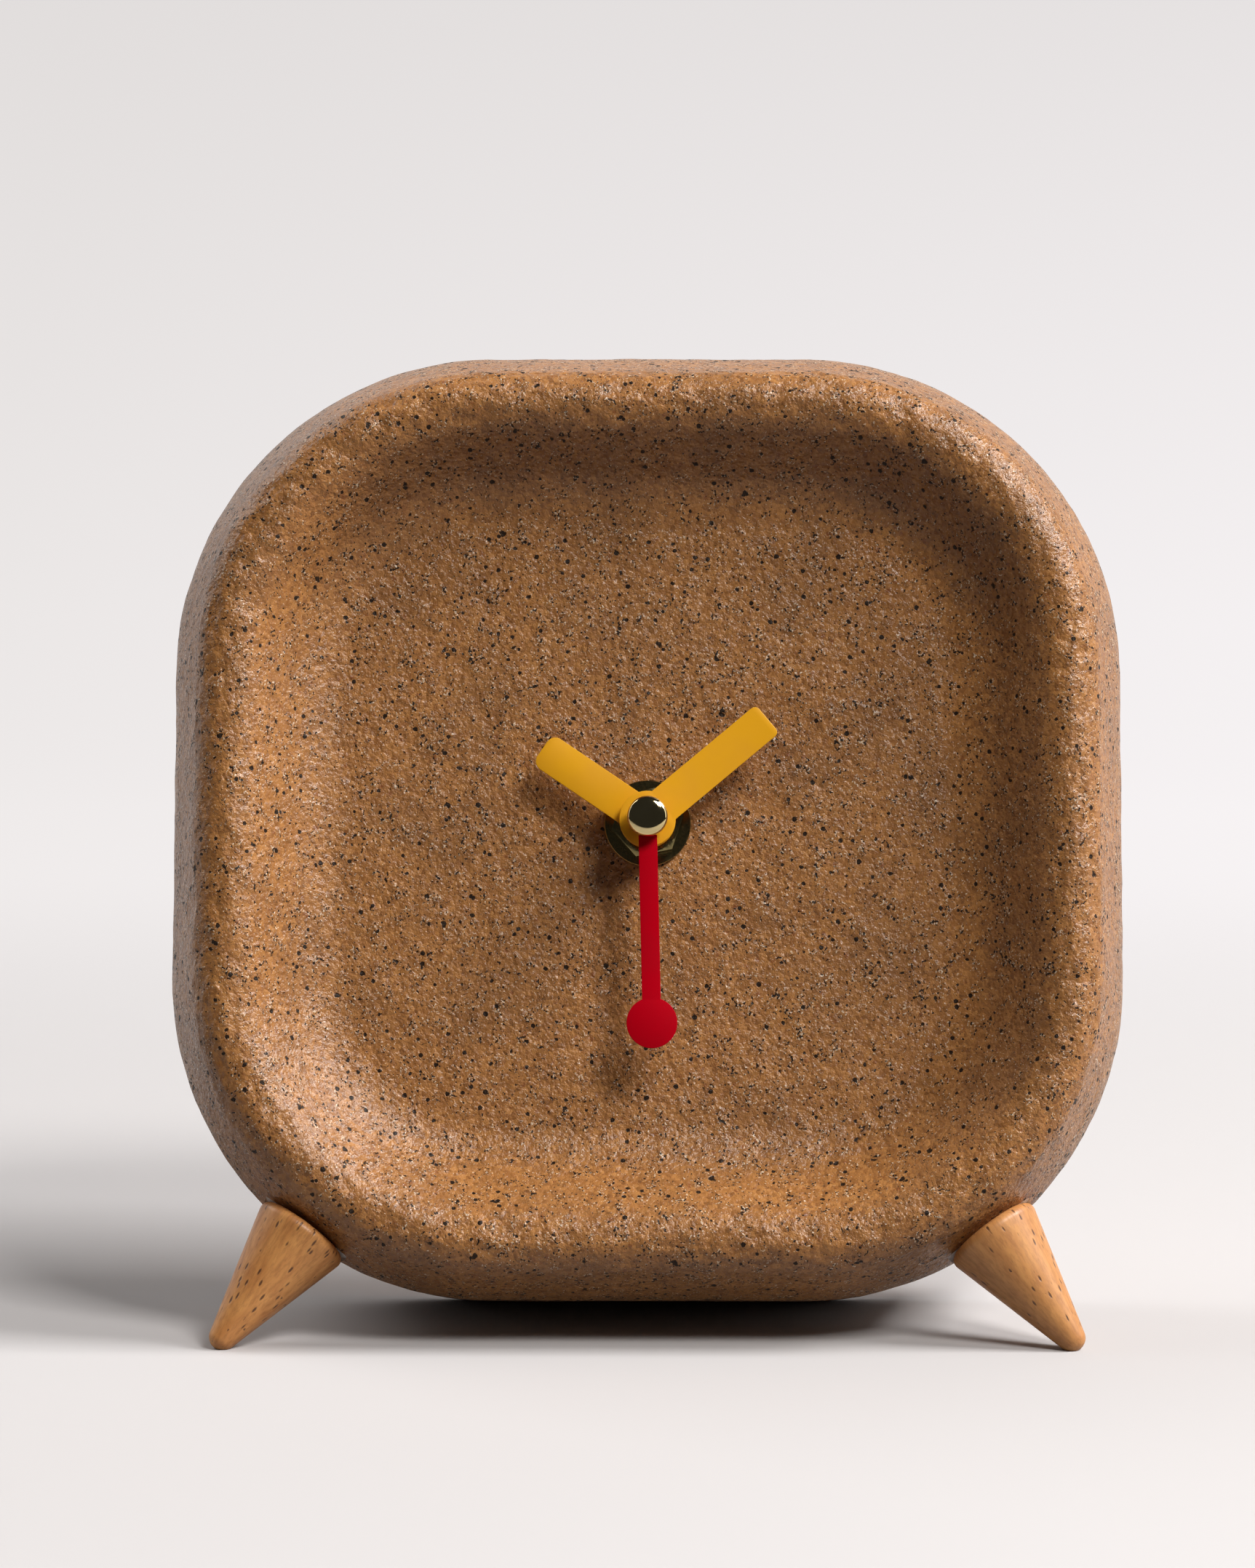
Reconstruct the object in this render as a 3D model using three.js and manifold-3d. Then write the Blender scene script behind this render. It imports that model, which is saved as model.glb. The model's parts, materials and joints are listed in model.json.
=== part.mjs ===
// Desk clock: a pressed wood-fibre body with a dished face, two turned legs and a quartz movement.
// Millimetres. X runs to the right, Y from the face to the back and Z up. The table is Z = 0.

import * as THREE from "three";
import { mergeVertices } from "three/addons/utils/BufferGeometryUtils.js";
import Module from "manifold-3d";

const wasm = await Module();
wasm.setup();

// Driving sizes of the body. Depths are counted from the plane of the rim's crest.
const bodyHalfWidth = 82.5;
const bodyCornerRadius = 55.6;
const bodyDepth = 50;
const leanDegrees = 12;
const wallDraftDegrees = 22;
const rimRadius = 6;
const rimCrestInset = 10;
const backEdgeRadius = 2;
const dishDepth = 13.6;
const dishCrown = 0.8;
const dishLipRadius = 8;
const dishFilletRadius = 14;
const dishSlopeDegrees = 47;
const dialWall = 6;
const pocketRoom = 7;
const pocketCornerRadius = 10;
const pocketEdgeRadius = 1.2;
const restCut = 0.4;

// Legs and the dowels that hold them.
const legSplayDegrees = 53.7;
const legTiltDegrees = 10;
const legSeatDepth = 11.8;
const legSeatInset = 1.9;
const legBaseRadius = 8.4;
const legEdgeRadius = 1.5;
const legTipRadius = 2.4;
const legTipFlat = 0.4;
const dowelRadius = 3;
const dowelLength = 22;

// Gaps: between pieces that touch, and round shafts that turn.
const fitGap = 0.25;
const turningGap = 0.2;
const overrun = 1;

// Parts on the threaded bush, from the dial outwards.
const bushRadius = 3.95;
const bushBoreRadius = 2.75;
const bushProud = 0.8;
const hubSeatRadius = 9;
const gasketRadius = 11;
const gasketThickness = 1;
const washerRadius = 7.5;
const washerThickness = 0.5;
const nutAcrossFlats = 11;
const nutSides = 6;
const nutThickness = 2.6;
const nutTurnDegrees = 11.7;
const nutCornerChamfer = 0.35;

// Hands and what carries them. Angles are clockwise from twelve.
const handThickness = 0.4;
const handHubRadius = 4.85;
const handWidth = 6.35;
const handLift = 1.2;
const handSpacing = 1.7;
const handCollarHeight = 0.8;
const handCollarWall = 0.5;
const hourHandLength = 22;
const hourHandDegrees = 304.2;
const hourHandCorner = 1.7;
const minuteHandLength = 27;
const minuteHandDegrees = 50;
const minuteHandCorner = 1;
const secondHandReach = 35.3;
const secondHandDegrees = 178.7;
const secondHandWidth = 3.2;
const secondHandDiscRadius = 4.35;
const secondHandRootRadius = 2.6;
const hourTubeRadius = 2.5;
const minuteTubeRadius = 1.6;
const arborRadius = 0.5;
const arborTip = 0.8;
const tubeWall = 0.6;
const hubCapRadius = 3.5;
const hubCapHeight = 3;
const capBoreDepth = 1.5;
const arborInCap = 1;

// Movement case.
const caseDepth = 16;
const caseWall = 1.2;
const caseCornerRadius = 3;
const coverThickness = 1.2;
const pivotDepth = 0.6;
const postRadius = 1.5;
const bridgeEdge = 1.9;
const bridgeRoom = 1.2;
const wheelRoom = 1.5;
const screwInset = 2.7;
const screwShankRadius = 0.9;
const screwHeadRadius = 1.9;
const screwHeadHeight = 1.1;
const screwLength = 6;
const screwSlotWidth = 0.5;
const screwSlotDepth = 0.5;
const knobRadius = 5;
const knobHeight = 2.6;
const knobFluteDepth = 0.45;
const knobFlutes = 12;
const knobSkin = 0.5;
const worksArborRadius = 0.75;

// Going train: distances between arbors and tooth counts.
const worksDistance = 10.5;
const thirdDistance = 10.1;
const fifthDistance = 8.4;
const rotorDistance = 7;
const worksDirection = 90;
const thirdDirection = 180;
const fifthDirection = 10;
const rotorDirection = 60;
const cannonTeeth = 8;
const worksTeeth = 24;
const worksPinionTeeth = 6;
const hourTeeth = 24;
const secondsPinionTeeth = 6;
const thirdTeeth = 48;
const thirdPinionTeeth = 6;
const minuteTeeth = 45;
const fifthPinionTeeth = 6;
const secondsTeeth = 30;
const rotorTeeth = 6;
const fifthTeeth = 36;
const layerCount = 8;
const layerRoomShare = 0.5;
const wheelThicknessShare = 0.6;
const toothTipShare = 0.75;
const toothRootShare = 1.05;

// Motor, circuit and battery.
const magnetRadius = 2.2;
const magnetAirGap = 0.6;
const statorThickness = 1;
const statorWidth = 17;
const statorOffset = 3;
const coilInset = 7.5;
const coilCoreHeight = 1.6;
const coilCoreThickness = 1;
const bobbinRadius = 2.4;
const bobbinWall = 0.3;
const boardThickness = 0.8;
const boardHeight = 11.5;
const boardMargin = 2;
const boardBridgeGap = 0.9;
const boardStatorGap = 3;
const chipRadius = 2.6;
const chipHeight = 0.9;
const crystalRadius = 1;
const crystalLength = 6;
const batteryRadius = 7.15;
const batteryLength = 49.3;
const batteryNubRadius = 2.7;
const batteryNubHeight = 1.2;
const batteryEdgeRadius = 0.6;
const contactThickness = 0.4;
const contactWidth = 8;
const contactDimple = 0.6;
const contactSpring = 0.7;
const tongueWidth = 4;
const tongueRoot = 5.4;
const tongueTip = 1.4;

// Numbers of facets.
const bodySides = 64;
const legSides = 24;
const roundSides = 28;
const smallSides = 14;
const floorSteps = 4;
const arcSteps = 5;
const edgeSteps = 4;
const domeSteps = 7;
const fluteSteps = 4;

// Places and radii worked out from the driving sizes.
const radians = THREE.MathUtils.degToRad;
const lean = radians(leanDegrees);
const draft = radians(wallDraftDegrees);
const dishSlope = radians(dishSlopeDegrees);
const bushHoleRadius = bushRadius + fitGap;
const pocketFloor = dishDepth + dialWall;
const movementFront = pocketFloor + fitGap + gasketThickness + fitGap;
const movementBack = movementFront + caseDepth;
const leafSpace = fitGap + contactThickness;
const cellSpace = contactSpring + fitGap + batteryLength + batteryNubHeight + fitGap + contactDimple;
const caseInside = leafSpace + cellSpace / 2;
const caseHalfWidth = caseInside + caseWall;
const pocketHalfWidth = caseHalfWidth + pocketRoom;
const insideFront = movementFront + caseWall;
const insideBack = movementBack - coverThickness;
const washerFront = dishDepth - fitGap - washerThickness;
const nutFront = washerFront - fitGap - nutThickness;
const bushFront = nutFront - bushProud;
const hourHandBack = bushFront - handLift;
const minuteHandBack = hourHandBack - handThickness - handSpacing;
const secondHandBack = minuteHandBack - handThickness - handSpacing;
const hubCapBase = secondHandBack - handThickness - fitGap;
const hourTubeBore = minuteTubeRadius + turningGap;
const minuteTubeBore = arborRadius + turningGap;
const arborHole = arborRadius + turningGap;
const worksArborHole = worksArborRadius + turningGap;
const layerPitch = (insideBack - insideFront) / (layerCount + layerRoomShare);
const wheelThickness = layerPitch * wheelThicknessShare;
const wheelReach = Math.max(
  tipRadius(thirdTeeth, secondsPinionTeeth, thirdDistance),
  tipRadius(minuteTeeth, thirdPinionTeeth, thirdDistance),
);
const chamberFloor = -wheelReach - wheelRoom;
const bayTop = chamberFloor - caseWall;
const bayBottom = bayTop - 2 * batteryRadius - 2 * fitGap;
const bridgeTop = worksDistance + bridgeEdge;
const bridgeBottom = chamberFloor + bridgeRoom;
const boardBottom = bridgeTop + boardBridgeGap;
const boardTop = boardBottom + boardHeight;
const chamberTop = boardTop + boardMargin;
const coilUp = chamberTop - coilInset;
// The back bottom edge is round, and the table cuts a narrow flat into it to stand on.
const standHeight = (bodyHalfWidth - backEdgeRadius) * Math.cos(lean)
  + (bodyDepth - backEdgeRadius) * Math.sin(lean) + backEdgeRadius - restCut;

// Radius over the teeth of a wheel. Two wheels in mesh share their distance by tooth count.
function tipRadius(teeth, partnerTeeth, distance) {
  return (distance * (teeth + 2 * toothTipShare)) / (teeth + partnerTeeth);
}

// Materials: colour, roughness and metalness.

function material(color, roughness, metalness) {
  return new THREE.MeshStandardMaterial({ color, roughness, metalness });
}

const pressedFibre = () => material(0xa87850, 0.62, 0);
const turnedWood = () => material(0xbe8755, 0.5, 0);
const dowelWood = () => material(0xd8b27c, 0.6, 0);
const yellowPaint = () => material(0xdca028, 0.45, 0.1);
const redPaint = () => material(0xb90019, 0.45, 0.1);
const polishedBrass = () => material(0xd9b65c, 0.12, 1);
const darkBrass = () => material(0x8a7440, 0.25, 1);
const plainSteel = () => material(0xb9bcc0, 0.3, 1);
const motorIron = () => material(0x8d9095, 0.4, 1);
const magnetAlloy = () => material(0x4a4a4e, 0.35, 1);
const copperWire = () => material(0xb5652d, 0.35, 1);
const nickel = () => material(0xb4b2aa, 0.3, 1);
const gasketRubber = () => material(0x1c1c1c, 0.85, 0);
const acetal = () => material(0xe9e6da, 0.5, 0);
const blackPlastic = () => material(0x1d1f22, 0.55, 0);
const bobbinPlastic = () => material(0x20242c, 0.5, 0);
const boardGreen = () => material(0x2c5a34, 0.5, 0);
const chipResin = () => material(0x15161a, 0.35, 0);
const cellSleeve = () => material(0x3b4a5a, 0.4, 0.2);

// Small helpers for shapes and solids.

function asSolid(geometry) {
  const bare = geometry.clone();
  bare.deleteAttribute("normal");
  bare.deleteAttribute("uv");
  const merged = mergeVertices(bare);
  return new wasm.Manifold(new wasm.Mesh({
    numProp: 3,
    vertProperties: new Float32Array(merged.attributes.position.array),
    triVerts: new Uint32Array(merged.index.array),
  }));
}

function asGeometry(solid) {
  const mesh = solid.getMesh();
  const geometry = new THREE.BufferGeometry();
  geometry.setAttribute("position", new THREE.BufferAttribute(mesh.vertProperties, 3));
  geometry.setIndex(new THREE.BufferAttribute(mesh.triVerts, 1));
  return geometry;
}

function join(...geometries) {
  const solids = geometries.map(asSolid);
  return asGeometry(solids.reduce((whole, next) => whole.add(next)));
}

function cut(geometry, ...tools) {
  return asGeometry(tools.reduce((whole, tool) => whole.subtract(asSolid(tool)), asSolid(geometry)));
}

function common(first, second) {
  return asGeometry(asSolid(first).intersect(asSolid(second)));
}

// A solid of revolution round the shaft direction, from [radius, depth] points.
// The front comes first and the outer wall runs backwards.
function revolve(points, sides = roundSides) {
  return new THREE.LatheGeometry(points.map(([radius, depth]) => new THREE.Vector2(radius, depth)), sides);
}

function rod(radius, front, back, sides = smallSides) {
  return revolve([[0, front], [radius, front], [radius, back], [0, back]], sides);
}

function ring(outer, inner, front, back, sides = roundSides) {
  return revolve([[inner, front], [outer, front], [outer, back], [inner, back], [inner, front]], sides);
}

// A flat plate between two depths, from a shape drawn as seen from the front.
function plate(shape, front, back, curveSegments = arcSteps) {
  const settings = { depth: back - front, bevelEnabled: false, curveSegments };
  const geometry = new THREE.ExtrudeGeometry(shape, settings);
  return geometry.rotateX(Math.PI / 2).translate(0, back, 0);
}

function block(left, right, front, back, bottom, top) {
  const geometry = new THREE.BoxGeometry(right - left, back - front, top - bottom);
  return geometry.translate((left + right) / 2, (front + back) / 2, (bottom + top) / 2);
}

function polygon(points) {
  return new THREE.Shape(points.map(([across, up]) => new THREE.Vector2(across, up)));
}

function roundedRectangle(left, right, bottom, top, radius) {
  const shape = new THREE.Shape();
  shape.absarc(right - radius, top - radius, radius, 0, Math.PI / 2);
  shape.absarc(left + radius, top - radius, radius, Math.PI / 2, Math.PI);
  shape.absarc(left + radius, bottom + radius, radius, Math.PI, Math.PI * 1.5);
  shape.absarc(right - radius, bottom + radius, radius, Math.PI * 1.5, Math.PI * 2);
  shape.closePath();
  return shape;
}

function withHole(shape, radius) {
  const hole = new THREE.Path();
  hole.absarc(0, 0, radius, 0, Math.PI * 2, true);
  shape.holes.push(hole);
  return shape;
}

function part(name, geometry, finish, place = [0, 0]) {
  const mesh = new THREE.Mesh(geometry, finish);
  mesh.name = name;
  mesh.position.set(place[0], 0, place[1]);
  return mesh;
}

// Points of an arc in the body's section as [inset, depth] pairs.
function sectionArc(inset, depth, radius, from, to, steps) {
  return Array.from({ length: steps + 1 }, (_, step) => {
    const angle = THREE.MathUtils.lerp(from, to, step / steps);
    return [inset + radius * Math.cos(angle), depth + radius * Math.sin(angle)];
  });
}

// Body: rings of one rounded-square family joined into a closed skin.

// Distance from the middle to a rounded square's edge along one direction.
function rimDistance(halfWidth, cornerRadius, angle) {
  const across = Math.abs(Math.cos(angle));
  const up = Math.abs(Math.sin(angle));
  const straight = halfWidth - cornerRadius;
  const longer = Math.max(across, up);
  if (halfWidth * Math.min(across, up) <= straight * longer) return halfWidth / longer;
  const along = straight * (across + up);
  return along + Math.sqrt(along * along - 2 * straight * straight + cornerRadius * cornerRadius);
}

function bodyRing(halfWidth, cornerRadius, depth) {
  return Array.from({ length: bodySides }, (_, side) => {
    const angle = (side / bodySides) * Math.PI * 2;
    const distance = rimDistance(halfWidth, cornerRadius, angle);
    return [distance * Math.cos(angle), depth, distance * Math.sin(angle)];
  });
}

function skinThrough(rings) {
  const index = [];
  rings.forEach((_, row) => {
    const next = (row + 1) % rings.length;
    for (let side = 0; side < bodySides; side += 1) {
      const beside = (side + 1) % bodySides;
      const [a, b] = [row * bodySides + side, row * bodySides + beside];
      const [c, d] = [next * bodySides + beside, next * bodySides + side];
      index.push(a, d, b, b, d, c);
    }
  });
  const geometry = new THREE.BufferGeometry();
  geometry.setAttribute("position", new THREE.Float32BufferAttribute(rings.flat(2), 3));
  geometry.setIndex(index);
  return geometry;
}

function dishFloorRings(floorInset) {
  const floorHalf = bodyHalfWidth - floorInset;
  const floorCorner = bodyCornerRadius - floorInset;
  return Array.from({ length: floorSteps }, (_, step) => {
    const share = step / floorSteps;
    return bodyRing(
      THREE.MathUtils.lerp(hubSeatRadius, floorHalf, share),
      THREE.MathUtils.lerp(hubSeatRadius, floorCorner, share),
      dishDepth - dishCrown * share * share,
    );
  });
}

function bodySkin() {
  const lipDrop = dishLipRadius * (1 - Math.cos(dishSlope));
  const filletDrop = dishFilletRadius * (1 - Math.cos(dishSlope));
  const straightRun = (dishDepth - dishCrown - lipDrop - filletDrop) / Math.tan(dishSlope);
  const lipRun = dishLipRadius * Math.sin(dishSlope);
  const filletRun = dishFilletRadius * Math.sin(dishSlope);
  const floorInset = rimCrestInset + lipRun + straightRun + filletRun;
  const wallStartInset = rimCrestInset - rimRadius * Math.cos(draft);
  const wallStartDepth = rimRadius * (1 - Math.sin(draft));
  const ridgeDepth = wallStartDepth + wallStartInset / Math.tan(draft);
  const filletDepth = dishDepth - dishCrown - dishFilletRadius;
  const back = Math.PI / 2;
  const section = [
    ...sectionArc(floorInset, filletDepth, dishFilletRadius, back, back + dishSlope, arcSteps),
    ...sectionArc(rimCrestInset, dishLipRadius, dishLipRadius, dishSlope - back, -back, arcSteps),
    ...sectionArc(rimCrestInset, rimRadius, rimRadius, -back, draft - Math.PI, arcSteps).slice(1),
    [0, ridgeDepth],
    ...sectionArc(backEdgeRadius, bodyDepth - backEdgeRadius, backEdgeRadius, Math.PI, back, edgeSteps),
  ];
  return skinThrough([
    bodyRing(bushHoleRadius, bushHoleRadius, dishDepth),
    ...dishFloorRings(floorInset),
    ...section.map(([inset, depth]) => bodyRing(bodyHalfWidth - inset, bodyCornerRadius - inset, depth)),
    bodyRing(pocketHalfWidth + pocketEdgeRadius, pocketCornerRadius + pocketEdgeRadius, bodyDepth),
    bodyRing(pocketHalfWidth, pocketCornerRadius, bodyDepth - pocketEdgeRadius),
    bodyRing(pocketHalfWidth, pocketCornerRadius, pocketFloor),
    bodyRing(bushHoleRadius, bushHoleRadius, pocketFloor),
  ]);
}

// Everything below hangs in this group, which leans back and stands on the table.
const clock = new THREE.Group();
clock.rotation.x = -lean;
clock.position.z = standHeight;
clock.updateMatrix();

// Height above the table of a point in the leaning clock.
function heightOf(point) {
  return point.clone().applyMatrix4(clock.matrix).z;
}

// The table as a block, seen from a frame inside the clock. It cuts the flats that the clock stands on.
function tableIn(frame) {
  const span = bodyHalfWidth * 4;
  const world = clock.matrix.clone().multiply(frame);
  return block(-span, span, -span, span, -span, 0).applyMatrix4(world.invert());
}

// Legs.

function legFrame(side) {
  const splay = radians(legSplayDegrees);
  const tilt = radians(legTiltDegrees);
  const outwards = new THREE.Vector3(side * Math.cos(splay), 0, -Math.sin(splay));
  const direction = outwards.clone().multiplyScalar(Math.cos(tilt)).setY(-Math.sin(tilt));
  const cornerCentre = bodyHalfWidth - bodyCornerRadius;
  const base = new THREE.Vector3(side * cornerCentre, legSeatDepth, -cornerCentre);
  base.addScaledVector(outwards, bodyCornerRadius - legSeatInset);
  const turn = new THREE.Quaternion().setFromUnitVectors(new THREE.Vector3(0, 1, 0), direction);
  const frame = new THREE.Matrix4().compose(base, turn, new THREE.Vector3(1, 1, 1));
  const fall = heightOf(base) - heightOf(base.clone().add(direction));
  const tipDistance = (heightOf(base) - legTipRadius + legTipFlat) / fall;
  return { frame, tipDistance };
}

// The leg's section runs from the dowel hole round the base and down to the tip's ball.
function legGeometry({ frame, tipDistance }) {
  const taper = Math.asin((legBaseRadius - legTipRadius) / (tipDistance - legEdgeRadius));
  const holeRadius = dowelRadius + fitGap;
  const holeDepth = dowelLength / 2 + fitGap;
  const down = Math.PI / 2;
  const edge = sectionArc(legBaseRadius - legEdgeRadius, legEdgeRadius, legEdgeRadius, -down, taper, edgeSteps);
  const ball = sectionArc(0, tipDistance, legTipRadius, taper, down, arcSteps);
  ball[arcSteps][0] = 0;
  const hole = [[0, holeDepth], [holeRadius, holeDepth], [holeRadius, 0]];
  return cut(revolve([...hole, ...edge, ...ball], legSides), tableIn(frame));
}

// The seat that is cut into the body for a leg, with its dowel hole.
function legSeatCutter({ frame, tipDistance }) {
  const holeRadius = dowelRadius + fitGap;
  const holeDepth = dowelLength / 2 + fitGap;
  const seatRadius = legBaseRadius + fitGap;
  const seat = rod(seatRadius, -fitGap, tipDistance / 2, legSides);
  return join(seat, rod(holeRadius, -holeDepth, 0)).applyMatrix4(frame);
}

function placedBy(mesh, frame) {
  frame.decompose(mesh.position, mesh.quaternion, mesh.scale);
  return mesh;
}

const legs = [["left", -1], ["right", 1]].map(([word, side]) => ({ word, ...legFrame(side) }));

function clockBody() {
  return cut(bodySkin(), ...legs.map(legSeatCutter), tableIn(new THREE.Matrix4()));
}

function legDowel() {
  return rod(dowelRadius, -dowelLength / 2, dowelLength / 2);
}

clock.add(part("clock_body", clockBody(), pressedFibre()));
for (const leg of legs) {
  clock.add(placedBy(part(`${leg.word}_leg`, legGeometry(leg), turnedWood()), leg.frame));
  clock.add(placedBy(part(`${leg.word}_leg_dowel`, legDowel(), dowelWood()), leg.frame));
}

// Parts on the bush.

function hexNut() {
  const corner = nutAcrossFlats / 2 / Math.cos(Math.PI / nutSides);
  const outline = Array.from({ length: nutSides }, (_, side) => {
    const angle = radians(nutTurnDegrees) + (side / nutSides) * Math.PI * 2;
    return [corner * Math.cos(angle), corner * Math.sin(angle)];
  });
  const back = nutFront + nutThickness;
  const faceRadius = nutAcrossFlats / 2;
  const rim = corner + overrun;
  const slant = nutCornerChamfer * (rim - faceRadius) / (corner - faceRadius);
  const turned = revolve([
    [bushHoleRadius, nutFront], [faceRadius, nutFront], [rim, nutFront + slant],
    [rim, back], [bushHoleRadius, back], [bushHoleRadius, nutFront],
  ]);
  return common(plate(polygon(outline), nutFront - overrun, back + overrun), turned);
}

function dialWasher() {
  return ring(washerRadius, bushHoleRadius, washerFront, washerFront + washerThickness);
}

function rubberGasket() {
  const front = pocketFloor + fitGap;
  return ring(gasketRadius, bushHoleRadius, front, front + gasketThickness);
}

clock.add(part("rubber_gasket", rubberGasket(), gasketRubber()));
clock.add(part("dial_washer", dialWasher(), darkBrass()));
clock.add(part("hex_nut", hexNut(), darkBrass()));

// Hands.

// A bar that starts in a round hub and ends square with rounded corners, pointing to twelve.
function barOutline(length, corner) {
  const half = handWidth / 2;
  const start = Math.asin(half / handHubRadius);
  const shape = new THREE.Shape();
  shape.absarc(half - corner, length - corner, corner, 0, Math.PI / 2);
  shape.absarc(corner - half, length - corner, corner, Math.PI / 2, Math.PI);
  shape.absarc(0, 0, handHubRadius, Math.PI / 2 + start, Math.PI * 2.5 - start);
  shape.closePath();
  return shape;
}

function barHand(length, corner, degrees, back, tubeRadius) {
  const hole = tubeRadius + fitGap;
  const bar = plate(withHole(barOutline(length, corner), hole), back - handThickness, back);
  const collar = ring(hole + handCollarWall, hole, back - handThickness, back + handCollarHeight);
  return join(bar, collar).rotateY(radians(degrees));
}

// The second hand is a strip between a small root and a round end.
function secondHand() {
  const front = secondHandBack - handThickness;
  const half = secondHandWidth / 2;
  const strip = block(-half, half, front, secondHandBack, 0, secondHandReach);
  const root = rod(secondHandRootRadius, front, secondHandBack, roundSides);
  const disc = rod(secondHandDiscRadius, front, secondHandBack, roundSides).translate(0, 0, secondHandReach);
  const hole = rod(arborTip + fitGap, front - overrun, secondHandBack + overrun);
  return cut(join(strip, root, disc), hole).rotateY(radians(secondHandDegrees));
}

// The tube under the second hand, which grips the arbor.
function secondHandTube() {
  const front = secondHandBack - handThickness;
  const back = minuteHandBack - handThickness - turningGap;
  const collar = secondHandBack + fitGap;
  return revolve([
    [arborHole, front], [arborTip, front], [arborTip, collar],
    [arborTip + tubeWall, collar], [arborTip + tubeWall, back], [arborHole, back], [arborHole, front],
  ], smallSides);
}

// The domed cap has a blind bore for the arbor's end.
function hubCap() {
  const dome = Array.from({ length: domeSteps + 1 }, (_, step) => {
    const angle = (step / domeSteps) * (Math.PI / 2);
    return [hubCapRadius * Math.sin(angle), hubCapBase - hubCapHeight * Math.cos(angle)];
  });
  dome[0][0] = 0;
  const boreTop = hubCapBase - capBoreDepth;
  return revolve([...dome, [arborHole, hubCapBase], [arborHole, boreTop], [0, boreTop]], roundSides);
}

function hourHand() {
  return barHand(hourHandLength, hourHandCorner, hourHandDegrees, hourHandBack, hourTubeRadius);
}

function minuteHand() {
  return barHand(minuteHandLength, minuteHandCorner, minuteHandDegrees, minuteHandBack, minuteTubeRadius);
}

clock.add(part("hour_hand", hourHand(), yellowPaint()));
clock.add(part("minute_hand", minuteHand(), yellowPaint()));
clock.add(part("second_hand", secondHand(), redPaint()));
clock.add(part("second_hand_tube", secondHandTube(), darkBrass()));
clock.add(part("hub_cap", hubCap(), polishedBrass()));

// Going train.

function turned([across, up], direction, distance) {
  const angle = radians(direction);
  return [across + distance * Math.cos(angle), up + distance * Math.sin(angle)];
}

const centre = [0, 0];
const worksPlace = turned(centre, worksDirection, worksDistance);
const thirdPlace = turned(centre, thirdDirection, thirdDistance);
const fifthPlace = turned(centre, fifthDirection, fifthDistance);
const rotorPlace = turned(fifthPlace, rotorDirection, rotorDistance);
const [hourLayer, worksLayer, minuteLayer, thirdLayer, bridgeLayer, secondsLayer, fifthLayer, rotorLayer] =
  Array.from({ length: layerCount }, (_, layer) => insideFront + fitGap + layer * layerPitch);

// Teeth as trapezoids: each has a corner at a share of the pitch angle and a share of the module.
const toothAngleShares = [-0.27, -0.1, 0.1, 0.27];
const toothHeightShares = [-toothRootShare, toothTipShare, toothTipShare, -toothRootShare];

// A gear's teeth start at the given phase.
function gear(teeth, partnerTeeth, distance, phase, layer) {
  const moduleSize = (2 * distance) / (teeth + partnerTeeth);
  const pitchRadius = (moduleSize * teeth) / 2;
  const pitchAngle = (Math.PI * 2) / teeth;
  const points = [];
  for (let tooth = 0; tooth < teeth; tooth += 1) {
    toothAngleShares.forEach((angleShare, corner) => {
      const angle = phase + (tooth + angleShare) * pitchAngle;
      const radius = pitchRadius + moduleSize * toothHeightShares[corner];
      points.push([radius * Math.cos(angle), radius * Math.sin(angle)]);
    });
  }
  return plate(polygon(points), layer, layer + wheelThickness);
}

// The two gears of a mesh: a tooth of the first points at the second, which has a gap there.
function meshedPair(teeth, partnerTeeth, distance, direction, layer) {
  const towards = radians(direction);
  const partnerPhase = towards + Math.PI + Math.PI / partnerTeeth;
  return [
    gear(teeth, partnerTeeth, distance, towards, layer),
    gear(partnerTeeth, teeth, distance, partnerPhase, layer),
  ];
}

const [cannonPinion, worksGear] =
  meshedPair(cannonTeeth, worksTeeth, worksDistance, worksDirection, worksLayer);
const [hourGear, worksPinion] =
  meshedPair(hourTeeth, worksPinionTeeth, worksDistance, worksDirection, hourLayer);
const [secondsPinion, thirdGear] =
  meshedPair(secondsPinionTeeth, thirdTeeth, thirdDistance, thirdDirection, thirdLayer);
const [minuteGear, thirdPinion] =
  meshedPair(minuteTeeth, thirdPinionTeeth, thirdDistance, thirdDirection, minuteLayer);
const [secondsGear, fifthPinion] =
  meshedPair(secondsTeeth, fifthPinionTeeth, fifthDistance, fifthDirection, secondsLayer);
const [fifthGear, rotorGear] =
  meshedPair(fifthTeeth, rotorTeeth, rotorDistance, rotorDirection, fifthLayer);

const frontPivot = insideFront - pivotDepth + turningGap;
const backPivot = insideBack + pivotDepth - turningGap;
const knobFront = movementBack + fitGap;
const knobBack = knobFront + knobHeight;
const bridgeBack = bridgeLayer + wheelThickness;
const bridgePivotFront = bridgeLayer + turningGap;
const bridgePivotBack = bridgeBack - turningGap;

function hourWheel() {
  const tube = rod(hourTubeRadius, hourHandBack - handThickness, hourLayer + wheelThickness, roundSides);
  const bore = rod(hourTubeBore, hourHandBack - overrun, hourLayer + wheelThickness + overrun, roundSides);
  return cut(join(tube, hourGear), bore);
}

function minuteWheel() {
  const back = minuteLayer + wheelThickness;
  const tube = rod(minuteTubeRadius, minuteHandBack - handThickness, back, roundSides);
  const bore = rod(minuteTubeBore, minuteHandBack - overrun, back + overrun);
  return cut(join(tube, cannonPinion, minuteGear), bore);
}

function secondsWheel() {
  return join(rod(arborRadius, hubCapBase - arborInCap, backPivot), secondsPinion, secondsGear);
}

function thirdWheel() {
  return join(rod(arborRadius, frontPivot, bridgePivotBack), thirdPinion, thirdGear);
}

function fifthWheel() {
  return join(rod(arborRadius, bridgePivotFront, backPivot), fifthPinion, fifthGear);
}

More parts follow.
